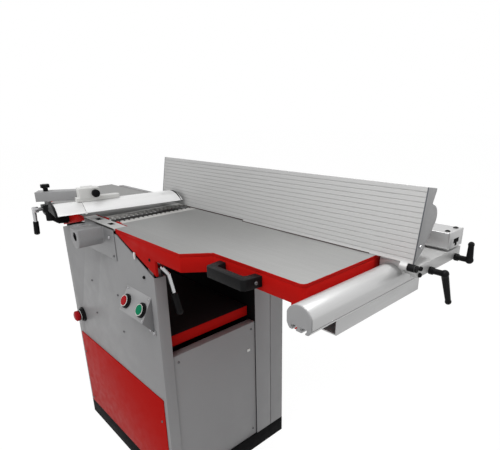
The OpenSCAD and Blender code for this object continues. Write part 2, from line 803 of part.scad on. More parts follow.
// Infeed apron with the deep end wall that carries the fence rail.
module infeed_apron() {
    color([0.63, 0.1, 0.09]) on_side(1) {
        apron(infeed_l, lip_x_in, tip_in);
        translate([0, 0, work_h - end_drop]) linear_extrude(end_drop - apron_h + 1) intersection() {
            difference() {
                polygon(table_pts(infeed_l, lip_x_in, 0));
                polygon(table_pts(infeed_l, lip_x_in, apron_t));
            }
            translate([infeed_l - 32, front_y]) square([40, table_rear - front_y]);
        }
    }
}

// Infeed lip.
module infeed_lip() {
    color([0.8, 0.8, 0.82]) on_side(1) lip_strip(lip_edge_in, lip_x_in);
}

// Guide rail section in X and Z, grown by g.
module rail_section(g) {
    difference() {
        intersection() {
            translate([rail_x, rail_z]) circle(r = rail_r + g);
            translate([rail_x - rail_flat - g, rail_z - 50]) square([2 * (rail_flat + g), 100]);
        }
        translate([rail_x - 50, rail_low - 50]) square([100, 50]);
    }
}

// Guide rail with two T-slots underneath and a groove along each side.
module fence_rail() {
    color([0.85, 0.85, 0.86]) slab_y(rail_y0, rail_y1) difference() {
        rail_section(0);
        translate([rail_x, rail_z + 8]) circle(r = 12);
        rail_slots();
        translate([rail_x, rail_z]) rotate(-24) translate([rail_r - 2, -1.5]) square([4, 3]);
        translate([rail_x, rail_z]) rotate(128) translate([rail_r - 1.2, -0.8]) square([3, 1.6]);
    }
}

// Mouths of the two T-slots under the rail.
module rail_slots() {
    for (s = [-1, 1]) translate([rail_x + s * 11, rail_low]) {
        translate([-4, -1]) square([8, 6]);
        translate([-7, 4]) square([14, 6]);
    }
}

// End caps of the guide rail, open at the T-slots.
module rail_end_caps() {
    color([0.55, 0.55, 0.56])
        for (y = [rail_y0 - 3, rail_y1])
            slab_y(y, y + 3) difference() {
                rail_section(0);
                rail_slots();
            }
}

// Channel under the rail, bolted to the infeed end wall.
module rail_bracket() {
    x0 = cutter_x + infeed_l;
    z0 = rail_low - 35;
    color([0.5, 0.5, 0.5]) difference() {
        box([x0, front_y + 98, z0], [x0 + 51, front_y + 418, rail_low]);
        box([x0 + 3, front_y + 97, z0 + 3], [x0 + 48, front_y + 419, rail_low + 1]);
    }
}

// Bridge handle on the front of the infeed apron.
module table_handle() {
    y = front_y + step_d;
    x = handle_x;
    r = handle_r;
    color([0.06, 0.06, 0.06]) translate([0, 0, work_h - 37]) linear_extrude(25) polygon([
        [x - r, y], [x - r + 6, y - 41], [x - r + 14, y - 48], [x + r - 14, y - 48], [x + r - 6, y - 41], [x + r, y],
        [x + r - 22, y], [x + r - 25, y - 24], [x + r - 29, y - 28],
        [x - r + 29, y - 28], [x - r + 25, y - 24], [x - r + 22, y]]);
}

// Fence carriage: saddle over the rail with the ear and pin of the fence tilt.
module fence_carriage() {
    color([0.8, 0.8, 0.8]) {
        difference() {
            union() {
                box([carriage_x0, carriage_y0, carriage_z0], [carriage_x1, carriage_y1, carriage_z1]);
                slab_x(lug_x1 + 0.5, carriage_x1) polygon([[tilt_y - 5.6, tilt_z - 5.6], [carriage_y0 + 8, carriage_z0],
                    [carriage_y0 + 8, carriage_z1], [tilt_y, tilt_z + 8]]);
                bar_x(lug_x1 + 0.5, carriage_x1, tilt_y, tilt_z, 16.4);
            }
            slab_y(tilt_y - 30, carriage_y1 + 1) translate([rail_x, rail_z]) circle(r = rail_r + 0.3);
            box([lug_x0 - 0.5, carriage_y0 - 1, carriage_z0 - 1], [lug_x1 + 0.5, carriage_y0 + 12, carriage_z1 + 1]);
        }
        bar_x(lug_x0, carriage_x1, tilt_y, tilt_z, tilt_pin_d);
    }
}

// Box beam on the rear of the carriage.
module fence_beam() {
    y0 = carriage_y1 - 70;
    y1 = carriage_y1 - 1;
    z0 = carriage_z1 + 6;
    color([0.82, 0.82, 0.83]) {
        difference() {
            box([carriage_x1 - beam_l, y0, z0], [carriage_x1, y1, z0 + 38]);
            box([carriage_x1 - beam_l - 1, y0 + 4, z0 + 4], [carriage_x1 - 4, y1 - 4, z0 + 34]);
        }
        box([carriage_x0 + 8, y0 + 8, carriage_z1], [carriage_x1 - 6, y1 - 8, z0 + 1]);
    }
}

// Frame of the leaning fence: first axis behind the face, second axis up the face.
module on_fence(x0, x1) {
    translate([0, fence_y, fence_z]) rotate([-fence_lean, 0, 0]) slab_x(x0, x1) children();
}

// Outline of the fence section.
module fence_outline() {
    h = fence_h;
    polygon([[0, 0], [27, 27], [30, 35], [52, 72], [62, 98], [54, 116], [30, 127], [37, h - 6], [37, h], [0, h]]);
    translate([36, 98]) circle(r = 26);
}

// Relief under the fence over the cutterblock, the outfeed table and the beam strap.
module fence_relief() {
    on_fence(fence_x0 - 1, cutter_x + 315)
        polygon([[-1, -1], [-1, 6.2], [0, 6.2], [40, 46.2], [60, 46.2], [60, -1]]);
}

// Grooved fence profile with its tilt lug.
module fence_board() {
    pt = 2 * cos(fence_lean) + 9.2 * sin(fence_lean);
    ph = 2 * sin(fence_lean) - 9.2 * cos(fence_lean);
    pitch = (fence_h - 20) / 13;
    color([0.8, 0.8, 0.81]) difference() {
        union() {
            on_fence(fence_x0 + 3, fence_x1 - 3) difference() {
                fence_outline();
                polygon([[6, 36], [25, 42], [46, 74], [52, 98], [42, 114], [25, 122], [25, fence_h - 9], [6, fence_h - 9]]);
                for (i = [0:13])
                    translate([-1, 9.2 + i * pitch]) square([1.8, 1.6]);
            }
            on_fence(lug_x0, lug_x1) {
                translate([pt, ph]) circle(r = 8);
                polygon([[pt - 7.9, ph], [pt + 7.9, ph], [17, 17.5], [4, 17.5], [0.5, 4]]);
            }
        }
        fence_relief();
        bar_x(lug_x0 - 1, lug_x1 + 1, tilt_y, tilt_z, tilt_pin_d + 2 * run_fit);
    }
}

// End caps of the fence.
module fence_end_caps() {
    color([0.75, 0.75, 0.75]) difference() {
        union() {
            on_fence(fence_x0, fence_x0 + 3) fence_outline();
            on_fence(fence_x1 - 3, fence_x1) fence_outline();
        }
        fence_relief();
    }
}

// Clamp lever on the carriage end: hub along X, arm from its end by the vector v.
module clamp_lever(y, z, v) {
    x = carriage_x1 + 0.3;
    elbow = [x + 33, y, z];
    bar_x(x, x + 8, y, z, 17);
    bar_x(x, x + 33, y, z, 13);
    translate(elbow) sphere(d = 18);
    strut(elbow, elbow + v, 16, 12);
    translate(elbow + v * 0.99) sphere(d = 14);
}

// Lever that clamps the carriage on the rail.
module cross_clamp_lever() {
    color([0.06, 0.06, 0.06]) clamp_lever(carriage_y0 + 54, carriage_z0 + 4, [5, 27, -72]);
}

// Lever that clamps the fence tilt.
module tilt_clamp_lever() {
    color([0.06, 0.06, 0.06]) clamp_lever(carriage_y0 + 180, carriage_z0 + 4, [0, -3, 38]);
}

// Bent rod of the table lock lever.
module lock_lever() {
    p0 = [side_x + 12, lock_y, lock_z];
    p1 = [side_x + 14, lock_y + 17, lock_z - 22];
    p2 = [side_x + 16, lock_y + 28, lock_z - 79];
    color([0.85, 0.85, 0.86]) {
        bar_x(side_x - 46, side_x + 12, lock_y, lock_z, 12);
        translate(p0) sphere(d = 12.8);
        strut(p0, p1, 11, 11);
        translate(p1) sphere(d = 11.8);
        strut(p1, p2, 11, 11);
    }
}

// Grip of the table lock lever.
module lock_grip() {
    p1 = [side_x + 14, lock_y + 17, lock_z - 22];
    p2 = [side_x + 16, lock_y + 28, lock_z - 79];
    u = (p2 - p1) / norm(p2 - p1);
    color([0.06, 0.06, 0.06]) {
        strut(p2, p2 + u * 60, 17, 17);
        translate(p2 + u * 58) sphere(d = 20);
    }
}

// Frame of the turned guard, with its origin under the ridge at the fold.
module on_guard() {
    translate([guard_x, guard_y, 0]) rotate([0, 0, -guard_turn]) children();
}

// Guard arm with the post that slides in the bracket.
module guard_arm() {
    color([0.55, 0.55, 0.56]) {
        translate([arm_x, arm_y, arm_z0]) rotate([0, 0, arm_a]) translate([-29, -22, 0]) cube([189, 44, arm_z1 - arm_z0]);
        bar_z(arm_x, arm_y, work_h - 18, arm_z0 + 1, post_rod_d);
    }
}

// Clamp plate and block on the guard ridge, with an ear on the arm.
module guard_clamp() {
    color([0.85, 0.85, 0.86]) on_guard() {
        box([-15, -12, ridge_z + 0.3], [15, 107, ridge_z + 12]);
        translate([0, 107, ridge_z + 0.3]) cylinder(h = 11.7, d = 30);
        box([-19, -4, ridge_z + 11], [19, 58, ridge_z + 40]);
        box([-78, 22, arm_z1], [-18, 58, arm_z1 + 11]);
    }
}

// Arch of the guard along its length between two values.
module guard_arch(y0, y1) {
    slab_y(y0, y1) difference() {
        translate([0, ridge_z - arch_r]) circle(r = arch_r);
        translate([0, ridge_z - arch_r]) circle(r = arch_r - 3);
        translate([-arch_r - 1, ridge_z - guard_rise - 2 * arch_r]) square([2 * arch_r + 2, 2 * arch_r]);
    }
}

// Closed end of the arch between two values.
module guard_end(y0, y1) {
    slab_y(y0, y1) difference() {
        translate([0, ridge_z - arch_r]) circle(r = arch_r);
        translate([-arch_r - 1, ridge_z - guard_rise - 2 * arch_r]) square([2 * arch_r + 2, 2 * arch_r]);
    }
}

// Hinge knuckles of the fold at the guard's two low edges.
module guard_knuckles(d) {
    on_guard() for (s = [-1, 1])
        bar_x(s * (guard_w / 2 - 4) - 4, s * (guard_w / 2 - 4) + 4, 0, ridge_z - guard_rise, d);
}

// Long part of the guard, cut parallel to the fence at its far end.
module guard_board() {
    color([0.9, 0.9, 0.9]) {
        difference() {
            on_guard() guard_arch(0.5, guard_l + 40);
            guard_knuckles(7.4);
            box([guard_x - 120, guard_end_y, ridge_z - 100], [guard_x + 220, guard_end_y + 120, ridge_z + 100]);
        }
        intersection() {
            on_guard() guard_end(guard_l - 60, guard_l + 40);
            box([guard_x - 120, guard_end_y - 5, ridge_z - 100], [guard_x + 220, guard_end_y, ridge_z + 100]);
        }
    }
}

// Folding front part of the guard with its closed end.
module guard_flap() {
    color([0.9, 0.9, 0.9]) {
        on_guard() {
            guard_arch(-flap_l - 0.5, -0.5);
            guard_end(-flap_l - 0.5, -flap_l + 4.5);
        }
        guard_knuckles(7);
    }
}

// Star knob on top of the guard arm.
module guard_star_knob() {
    color([0.06, 0.06, 0.06]) {
        bar_z(arm_x, arm_y, arm_z1 + 0.3, arm_z1 + 13, 15);
        bar_z(arm_x, arm_y, arm_z1 + 11, arm_z1 + 22, 22);
        for (a = [0:60:300])
            bar_z(arm_x + 10.5 * cos(a), arm_y + 10.5 * sin(a), arm_z1 + 11, arm_z1 + 22, 7);
    }
}

// Round knob on the side of the guard clamp.
module guard_clamp_knob() {
    color([0.06, 0.06, 0.06]) on_guard() {
        bar_x(19.3, 30, 42, ridge_z + 25, 10);
        bar_x(26, 38, 42, ridge_z + 25, 24);
    }
}

// Clamp lever of the guard post: hub along Y with a short side arm, a hanging arm and its grip.
module guard_lever() {
    x = arm_x;
    z = work_h + 20;
    y = arm_y - 42;
    elbow = [x - 15, y, z + 1];
    wrist = [x - 20, y, z - 42];
    tip = [x - 28, y, z - 77];
    color([0.75, 0.75, 0.76]) {
        bar_y(x, y - 8, arm_y - post_rod_d / 2 - 4, z, 12);
        bar_y(x, y - 8, y + 8, z, 20);
        strut([x, y, z], elbow, 13, 13);
        translate(elbow) sphere(d = 13.6);
        strut(elbow, wrist, 13, 12);
        strut(wrist, tip, 14, 15);
        translate(tip) sphere(d = 16);
    }
}

// Push button on the control face at x.
module push_button(x) {
    on_face(x) {
        translate([0, 0, 2.6]) cylinder(h = 9.4, d = cap_d);
        translate([0, 0, -8]) cylinder(h = 11, d = stem_d);
    }
}

// Stop button.
module stop_button() {
    color([0.75, 0.1, 0.1]) push_button(button_xs[0]);
}

// Start button.
module start_button() {
    color([0.1, 0.5, 0.2]) push_button(button_xs[1]);
}

// Emergency stop mushroom.
module emergency_knob() {
    color([0.75, 0.1, 0.1]) on_panel() {
        translate([0, 0, -8]) cylinder(h = 30, d = stem_d + 4);
        translate([0, 0, 19]) cylinder(h = 10, d = mushroom_d);
        translate([0, 0, 29]) cylinder(h = 4, d1 = mushroom_d, d2 = mushroom_d - 12);
    }
}

base_frame();
front_panel();
lower_front_door();
end_panel_infeed();
end_panel_outfeed();
rear_wall();
rear_cover();
head_front();
head_rear();
cutter_bearings();
bearing_cover();
throat_plate();
control_box();
button_bezels();
motor();
drive_belt();
lift_pedestal();
hinge_blocks();
cutter_head();
cutter_pulley();
motor_pulley();
infeed_roller();
outfeed_roller();
kickback_fingers();
thickness_table();
lift_screw();
lift_nut();
handwheel();
outfeed_table();
outfeed_apron();
outfeed_lip();
table_beams();
guard_base();
infeed_table();
infeed_apron();
infeed_lip();
fence_rail();
rail_end_caps();
rail_bracket();
table_handle();
fence_carriage();
fence_beam();
fence_board();
fence_end_caps();
cross_clamp_lever();
tilt_clamp_lever();
lock_lever();
lock_grip();
guard_arm();
guard_clamp();
guard_board();
guard_flap();
guard_star_knob();
guard_clamp_knob();
guard_lever();
stop_button();
start_button();
emergency_knob();
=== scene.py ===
"""Finishes, fittings and studio of a combination planer thicknesser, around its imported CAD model."""

import json
import math

import bmesh
import bpy
from mathutils import Matrix, Vector


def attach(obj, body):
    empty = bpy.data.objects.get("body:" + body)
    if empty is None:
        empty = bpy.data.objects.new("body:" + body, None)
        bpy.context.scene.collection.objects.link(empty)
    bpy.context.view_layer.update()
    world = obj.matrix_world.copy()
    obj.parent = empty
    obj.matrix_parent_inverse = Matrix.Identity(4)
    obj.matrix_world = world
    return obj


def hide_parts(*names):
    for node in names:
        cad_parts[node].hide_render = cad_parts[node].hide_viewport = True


bl_info = {
    "name": "Planer thicknesser",
    "version": (1, 0, 0),
    "blender": (4, 5, 0),
    "location": "3D View > Sidebar > Planer",
    "description": "Builds the finishes, fittings and studio of a combination planer thicknesser",
    "category": "Object",
}

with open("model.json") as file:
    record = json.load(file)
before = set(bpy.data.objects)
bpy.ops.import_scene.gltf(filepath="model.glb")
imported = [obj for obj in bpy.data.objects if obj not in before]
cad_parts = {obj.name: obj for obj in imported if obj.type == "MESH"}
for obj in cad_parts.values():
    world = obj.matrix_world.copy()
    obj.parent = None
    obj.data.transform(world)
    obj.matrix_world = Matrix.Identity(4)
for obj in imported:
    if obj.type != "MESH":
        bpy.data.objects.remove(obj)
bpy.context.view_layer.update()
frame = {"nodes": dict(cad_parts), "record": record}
RECORD = frame["record"]
BODY_OF = {node: body for body, nodes in RECORD["behaviour"]["bodies"].items() for node in nodes}
SLOT_OF = {row["node"]: row["material_slot"] for row in RECORD["subparts"]}
MM = 0.001

# Places on the machine; these and the lengths below are in millimetres.
FRONT_Y = -243.0
REAR_Y = 243.0
WORK_Z = 870.0
END_X = 313.0
END_FACE = END_X - 4.0
CUTTER = Vector((13.0, 0.0, 834.0))
FENCE_FOOT = Vector((0.0, 56.0, 871.2))
FENCE_LEAN = math.radians(10.0)
FENCE_ENDS = (-118.0, 858.0)
GUARD_ORIGIN = Vector((-82.0, -253.0, 0.0))
GUARD_TURN = math.radians(-9.0)
GUARD_RIDGE = 922.0
FACE_MID = Vector((0.0, -260.5, 676.0))
FACE_UP = Vector((0.0, 35.0, 66.0)).normalized()
FACE_OUT = Vector((0.0, -66.0, 35.0)).normalized()
BUTTONS = (179.0, 265.0)
BUTTON_DROP = 5.0
EMERGENCY = Vector((-252.0, FRONT_Y, 471.0))
WHEEL = Vector((-358.0, -49.0, 320.0))

# Directions to the machine's front, back, infeed end and top.
FRONT = (0, -1, 0)
BACK = (0, 1, 0)
SIDE = (1, 0, 0)
UP = (0, 0, 1)

# Mesh work: angles in degrees of edges to round, smooth or merge, and the gap in metres of points to merge.
SHARP = 35.0
SMOOTH = 40.0
FLAT = 0.4
MERGE_GAP = 2e-6

# Least share of a normal or an edge along an axis, for what is picked by its side.
FACING = 0.9
NEAR_FACING = 0.8
LEANING = 0.7
SLOPING = 0.6
TURNED = 0.5

# Screw heads: rounding and socket depth as shares of the height, and socket width as a share of the diameter.
CROWN = 0.45
SOCKET_DEPTH = 0.55
SOCKET = 0.45

# Sunk holes of the throat plate, between two corners; their faces get painted shade.
THROAT_LOW = (-85.0, -240.0, WORK_Z - 3.5)
THROAT_HIGH = (112.0, -212.0, WORK_Z - 0.4)

# Louvres of the rear cover.
LOUVRE_X = (-260.0, -150.0)
LOUVRE_Y = (242.0, 247.0)
LOUVRE_FOOT = 150.0
LOUVRE_HIGH = 12.0
LOUVRE_PITCH = 22.0
LOUVRE_ROWS = 8
LOUVRE_SLANT = 4.2

# Folded sheets behind the front panel's shoulders, each with X and Z of its inner and outer top corner.
SHOULDERS = (((142.0, 843.0), (END_FACE, 783.0)), ((-92.0, 852.0), (-END_FACE, 815.0)))
FOLD_BACK = 13.0
FOLD_SHEET = 3.0
FOLD_FOOT = 735.0
FOLD_BLANK = 760.0
FOLD_LIP = 11.0

# Strip of the tops beside the throat plate that stays painted, between two corners in X and Y.
PAINTED_LOW = (-93.0, -206.0)
PAINTED_HIGH = (119.0, -198.0)

# Knives and clamping bars of the cutterblock, from its axis.
KNIVES = 4
FIRST_KNIFE = 45.0
KNIFE_X = 5.0
KNIFE_Y = (-200.0, 108.0)
KNIFE_Z = (25.0, 35.8)
KNIFE_BEVEL = 1.8
BAR_LOW = Vector((-4.0, -198.0, 27.0))
BAR_HIGH = Vector((4.5, 106.0, 31.0))
BAR_SCREW = Vector((0.2, -180.0, 31.0))
BAR_SCREWS = 7
BAR_SCREW_PITCH = 44.0

# Foot strip and gap shadow of the fence, each between two corners along it, behind its face and up its face.
# The foot strip lies in the relief under the fence and is dark partly as painted shade of that gap; the gap
# shadow is a thin dark strip painted as the shadow under the rest of the fence's foot.
FOOT_STRIP = ((36.0, 0.8, 3.2), (323.0, 2.8, 6.1))
FOOT_GAP_SHADOW = ((323.2, -0.5, 0.1), (752.0, 0.3, 2.1))
GROOVE_BEHIND = (0.3, 1.0)
GROOVE_TOP = 155.0
FENCE_END_SCREW = (72.6, 906.0)

# Fittings of the fence carriage and its beam.
EAR = Vector((827.0, 66.0, 853.0))
CARRIAGE_SCREWS = ((862.0, 77.0, 858.0), (862.0, 76.0, 844.0))
PIVOT_BUSH = ((861.0, 58.0, 862.0), (866.0, 58.0, 862.0))
BEAM_SCREWS = ((850.0, 219.0, 908.0), (850.0, 262.0, 908.0))
BEAM_END = ((859.0, 203.4, 869.4), (863.6, 273.6, 908.6))
MOUTH_BAR = ((862.0, 226.0, 880.0), (863.9, 252.0, 891.0))
MOUTH_STEM = ((862.0, 234.0, 873.0), (863.9, 244.0, 881.0))

# End caps of the guard's arch, and the grip of its lever.
ARCH_R = 82.2
ARCH_HIGH = 27.5
NEAR_END = -82.5
FAR_END = 50.8
CAP_LAP = 2.0
NEAR_CAP = {"radius": 83.4, "stretch": 1.0}
FAR_CAP = {"radius": 82.3, "stretch": 1.026}
FAR_SHIFT = Vector((-34.0, 0.0, 0.0))
LEVER_GRIP = ((-239.5, -349.0, 850.0), (-250.0, -349.0, 804.2))

# Collars of the buttons, with the radius of the bore and the heights over the face.
BUTTON_COLLAR = {"bore": 14.5, "low": 4.2, "high": 10.9}
EMERGENCY_COLLAR = {"d": 42.0, "bore": 19.6, "low": 13.6, "high": 15.5}

# Handwheel: places along its axis from the middle of the rim, and its shaft's end and pinion on the machine.
WHEEL_REACH = 80.0
HUB = (-15.0, 23.0)
SPOKES = (90, 210, 330)
SPOKE_START = 4.0
CRANK_UP = 58.0
CRANK_KNOB = (-61.0, -14.0)
CRANK_PIN = (-16.0, 3.0)
SHAFT_START = 10.0
SHAFT_END = -80.0
PINION = (-84.0, -72.0)

# Screws of the cabinet: how far plates stand proud, how far heads are under the base diameter, and places.
PROUD = 3.0
TAB_PROUD = 2.5
PLAIN_LESS = 2.0
BRIGHT_LESS = 1.5
PANEL_SCREWS = ((-113.0, 647.0), (-112.0, 526.0), (88.0, 530.0), (78.0, 652.0))
HOOD_SCREWS = ((96.0, 783.0), (-80.0, 783.0))
DOOR_SCREWS_X = (-280.0, 280.0)
DOOR_SCREWS_Z = (85.0, 300.0)
REAR_SCREWS_X = (-298.0, 0.0, 298.0)
REAR_SCREWS_Z = (78.0, 420.0, 762.0)
END_SCREWS_Y = (-190.0, 95.0)
END_SCREWS_Z = (90.0, 495.0)
HOOD_BRIGHT_SCREW = (79.0, FRONT_Y - PROUD, 837.0)
TAB_SCREWS = ((268.0, FRONT_Y - TAB_PROUD, 604.0), (288.0, FRONT_Y - TAB_PROUD, 604.0))
BOX_SCREWS_X = (161.0, 280.0)
BOX_SCREWS_UP = (-30.0, 30.0)
CAP_SCREW = (263.0, FRONT_Y, 762.0)
SET_SCREW = (300.0, FRONT_Y, 820.0)
HANDLE_SCREWS = (((653.5, -199.0, 845.5), (0.99, -0.145, 0)),
                 ((518.5, -199.0, 845.5), (-0.99, -0.145, 0)))

# Small plates on the cabinet, each between two corners.
BOX_TAB = ((258.0, FRONT_Y - TAB_PROUD, 597.0), (296.0, FRONT_Y, 611.0))
PANEL_LOCK = ((END_FACE, 75.0, 416.5), (END_X - 1.5, 88.0, 425.5))
POINTER = ((220.0, FRONT_Y - 5.0, 804.0), (227.0, FRONT_Y, 824.0))

# Studio: floor and lamps in metres, and the camera's angles.
FLOOR_SIZE = 40
FLOOR_DROP = 0.0005
FLOOR_WHITE = (0.86, 0.86, 0.86, 1)
FLOOR_GLOW = 1.1
FLOOR_GLOW_SHARE = 0.86
KEY_LAMP = {"place": (0.4, -1.9, 3.1), "target": (0.2, 0.0, 0.8)}
KEY_SIZE = 2.6
SIDE_LAMP = {"place": (3.2, 0.6, 2.2), "target": (0.3, 0.0, 0.8)}
SIDE_SIZE = 2.2
TOP_LAMP = {"place": (0.9, 0.04, 2.6), "target": (0.82, -0.03, 0.87)}
TOP_CONE = math.radians(38)
TOP_SOFTNESS = 0.25
CAMERA_ACROSS = math.radians(47.908)
CAMERA_DOWN = math.radians(19.929)
CAMERA_ROLL = math.radians(1.206)
CAMERA_SENSOR = 36.0
CAMERA_SHIFT = 0.08
CAMERA_NEAR = 0.01

# Finishes: directions of brushing, the noise range and spread of the gloss, and the mix node's sockets.
BRUSHED_X = (2.0, 60.0, 60.0)
BRUSHED_Y = (60.0, 2.0, 60.0)
GLOSS_NOISE = (0.3, 0.7)
GLOSS_SPREAD = 0.07
GLOSS_FINER = 9.0
LEAST_ROUGH = 0.03
MIX_FACTOR, MIX_A, MIX_B, MIX_RESULT = 0, 6, 7, 2


def colour(title, words, value):
    """Colour property in linear values."""
    return bpy.props.FloatVectorProperty(name=title, description=words, subtype="COLOR", size=3,
                                         min=0.0, max=1.0, default=value)


def length(title, words, value):
    """Length property, given in millimetres and kept in metres."""
    return bpy.props.FloatProperty(name=title, description=words, unit="LENGTH", default=value * MM)


class PlanerColours(bpy.types.PropertyGroup):
    """Colours of the machine's finishes."""

    panel: colour("Panel grey", "Powder coat of the cabinet", (0.30, 0.30, 0.305))
    red: colour("Apron red", "Enamel of the aprons and the lower door", (0.48, 0.009, 0.007))
    # inside: near black, painted shade for the cabinet's inside and its holes, openings and gaps
    inside: colour("Inside", "Dark paint of the cabinet's inside", (0.006, 0.006, 0.0065))
    table: colour("Table iron", "Ground top of the tables", (0.29, 0.29, 0.286))
    fence: colour("Fence alloy", "Anodised fence profile", (0.53, 0.53, 0.526))
    rail: colour("Rail alloy", "Anodised rail and beam", (0.51, 0.51, 0.51))
    guard: colour("Guard alloy", "Bright anodised guard", (0.98, 0.98, 0.98))
    plastic: colour("Black plastic", "Levers, knobs and grips", (0.008, 0.008, 0.0085))
    stop: colour("Stop red", "Stop button and emergency knob", (0.40, 0.009, 0.014))
    start: colour("Start green", "Start button", (0.005, 0.21, 0.10))


class PlanerSizes(bpy.types.PropertyGroup):
    """Sizes of the fittings that are added to the CAD model."""

    edge: length("Edge rounding", "Rounding of the cabinet's, aprons' and beams' edges", 1.2)
    screw: length("Screw head", "Base diameter of the cabinet's screw heads", 9.0)
    knife: length("Knife thickness", "Thickness of a planer knife", 3.0)
    collar: length("Button collar", "Outside diameter of a button's white collar", 33.0)
    cap: length("Guard cap", "Thickness of the guard's end caps", 7.0)
    rim: length("Handwheel rim", "Thickness of the handwheel's rim", 18.0)


class PlanerStudio(bpy.types.PropertyGroup):
    """Camera and light of the studio."""

    lens: bpy.props.FloatProperty(name="Lens", description="Focal length on a 36 mm sensor",
                                  unit="CAMERA", default=30.71)
    camera: bpy.props.FloatVectorProperty(name="Camera place",
                                          description="Camera place in the machine's frame",
                                          subtype="TRANSLATION", default=(1.2431, -0.747, 1.177))
    key: bpy.props.FloatProperty(name="Key lamp", description="Power of the lamp at the front", unit="POWER",
                                 default=42.0)
    side: bpy.props.FloatProperty(name="Side lamp", description="Power of the lamp at the infeed end",
                                  unit="POWER", default=2.5)
    top: bpy.props.FloatProperty(name="Top lamp", description="Power of the lamp over the infeed table's end",
                                 unit="POWER", default=110.0)
    sky: bpy.props.FloatProperty(name="Sky", description="Strength of the even light", default=0.42)


def deselect():
    """Leaves edit mode and selects nothing."""
    if bpy.context.object and bpy.context.object.mode != "OBJECT":
        bpy.ops.object.mode_set(mode="OBJECT")
    bpy.ops.object.select_all(action="DESELECT")


def take(obj):
    """Selects one object and makes it active."""
    deselect()
    obj.select_set(True)
    bpy.context.view_layer.objects.active = obj


def settle(name):
    """Names the new primitive and moves its place into its mesh."""
    obj = bpy.context.object
    obj.name = name
    obj.data.name = name
    bpy.ops.object.transform_apply(location=True, rotation=True, scale=True)
    return obj


def block(name, low, high):
    """Box between two corners."""
    low, high = Vector(low) * MM, Vector(high) * MM
    deselect()
    bpy.ops.mesh.primitive_cube_add(size=1, location=(low + high) / 2, scale=high - low)
    return settle(name)


def rod(name, start, end, d, d2=None, sides=32):
    """Round bar between two points, with a second diameter at its end."""
    a, b = Vector(start) * MM, Vector(end) * MM
    end_d = d if d2 is None else d2
    deselect()
    bpy.ops.mesh.primitive_cone_add(vertices=sides, radius1=d / 2 * MM, radius2=end_d / 2 * MM,
                                    depth=(b - a).length, location=(a + b) / 2,
                                    rotation=(b - a).to_track_quat("Z", "Y").to_euler())
    return settle(name)


def pick(obj, test, kind="FACE"):
    """Opens edit mode and selects the faces or edges that pass a test.

    The test gets the middle in millimetres, and a face's normal or an edge's direction.
    """
    take(obj)
    bpy.ops.object.mode_set(mode="EDIT")
    bpy.ops.mesh.select_mode(type=kind)
    bpy.ops.mesh.select_all(action="DESELECT")
    mesh = bmesh.from_edit_mesh(obj.data)
    if kind == "FACE":
        for face in mesh.faces:
            face.select_set(bool(test(face.calc_center_median() / MM, face.normal)))
    else:
        for edge in mesh.edges:
            middle = (edge.verts[0].co + edge.verts[1].co) / 2
            edge.select_set(bool(test(middle / MM, (edge.verts[1].co - edge.verts[0].co).normalized())))
    bmesh.update_edit_mesh(obj.data)


def within(c, low, high):
    """Whether a point lies between two corners, in as many axes as they have."""
    return all(a < value < b for a, value, b in zip(low, c, high))


def sink(obj, test, rim, depth):
    """Insets the picked faces by a rim and pushes them in by a depth."""
    pick(obj, test)
    bpy.ops.mesh.inset(thickness=rim * MM, use_even_offset=True)
    bpy.ops.mesh.extrude_region_shrink_fatten(TRANSFORM_OT_shrink_fatten={"value": -depth * MM})
    bpy.ops.object.mode_set(mode="OBJECT")


def modify(obj, kind, **values):
    """Adds a modifier and applies it."""
    take(obj)
    mod = obj.modifiers.new(kind.title(), kind)
    for key, value in values.items():
        setattr(mod, key, value)
    bpy.ops.object.modifier_apply(modifier=mod.name)


def round_edges(obj, width, segments=2, angle=SHARP):
    """Rounds the sharp edges and smooths what is left."""
    modify(obj, "BEVEL", width=width * MM, segments=segments, limit_method="ANGLE",
           angle_limit=math.radians(angle), use_clamp_overlap=True)
    take(obj)
    bpy.ops.object.shade_smooth_by_angle(angle=math.radians(angle))


def cut(obj, tool):
    """Cuts one object with another and removes the tool."""
    modify(obj, "BOOLEAN", operation="DIFFERENCE", object=tool, solver="EXACT")
    bpy.data.objects.remove(tool)


def join(name, objs):
    """Joins objects into one piece."""
    take(objs[0])
    for obj in objs[1:]:
        obj.select_set(True)
    bpy.ops.object.join()
    piece = bpy.context.object
    piece.name = name
    piece.data.name = name
    return piece


def spread(name, model, spots):
    """Copies a model that stands at the origin along +Z to spots of place and normal, as one piece."""
    copies = []
    for place, normal in spots:
        copy = model.copy()
        copy.data = model.data.copy()
        bpy.context.scene.collection.objects.link(copy)
        turn = Vector(normal).to_track_quat("Z", "Y").to_matrix().to_4x4()
        copy.data.transform(Matrix.Translation(Vector(place) * MM) @ turn)
        copies.append(copy)
    bpy.data.objects.remove(model)
    return join(name, copies)


def fit(obj, body, look, slot, *nodes):
    """Gives a piece its finish and its body, and hides the nodes that it stands for; slot is not used."""
    obj.data.materials.clear()
    obj.data.materials.append(look)
    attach(obj, body)
    if nodes:
        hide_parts(*nodes)
    return obj


def dress(node, look, edge=None, segments=2, angle=SHARP):
    """Copy of a CAD node with merged faces and rounded edges, standing for the node."""
    piece = bpy.data.objects.new(node + "_dressed", frame["nodes"][node].data.copy())
    bpy.context.scene.collection.objects.link(piece)
    take(piece)
    bpy.ops.object.mode_set(mode="EDIT")
    bpy.ops.mesh.select_all(action="SELECT")
    bpy.ops.mesh.remove_doubles(threshold=MERGE_GAP)
    bpy.ops.mesh.dissolve_limited(angle_limit=math.radians(FLAT))
    bpy.ops.object.mode_set(mode="OBJECT")
    bpy.ops.object.shade_flat()
    round_edges(piece, bpy.context.scene.planer_sizes.edge / MM if edge is None else edge, segments, angle)
    return fit(piece, BODY_OF[node], look, SLOT_OF[node], node)


def paint_faces(obj, look, test):
    """Gives the faces that pass a test a second finish."""
    obj.data.materials.append(look)
    last = len(obj.data.materials) - 1
    for face in obj.data.polygons:
        if test(face.center / MM, face.normal):
            face.material_index = last


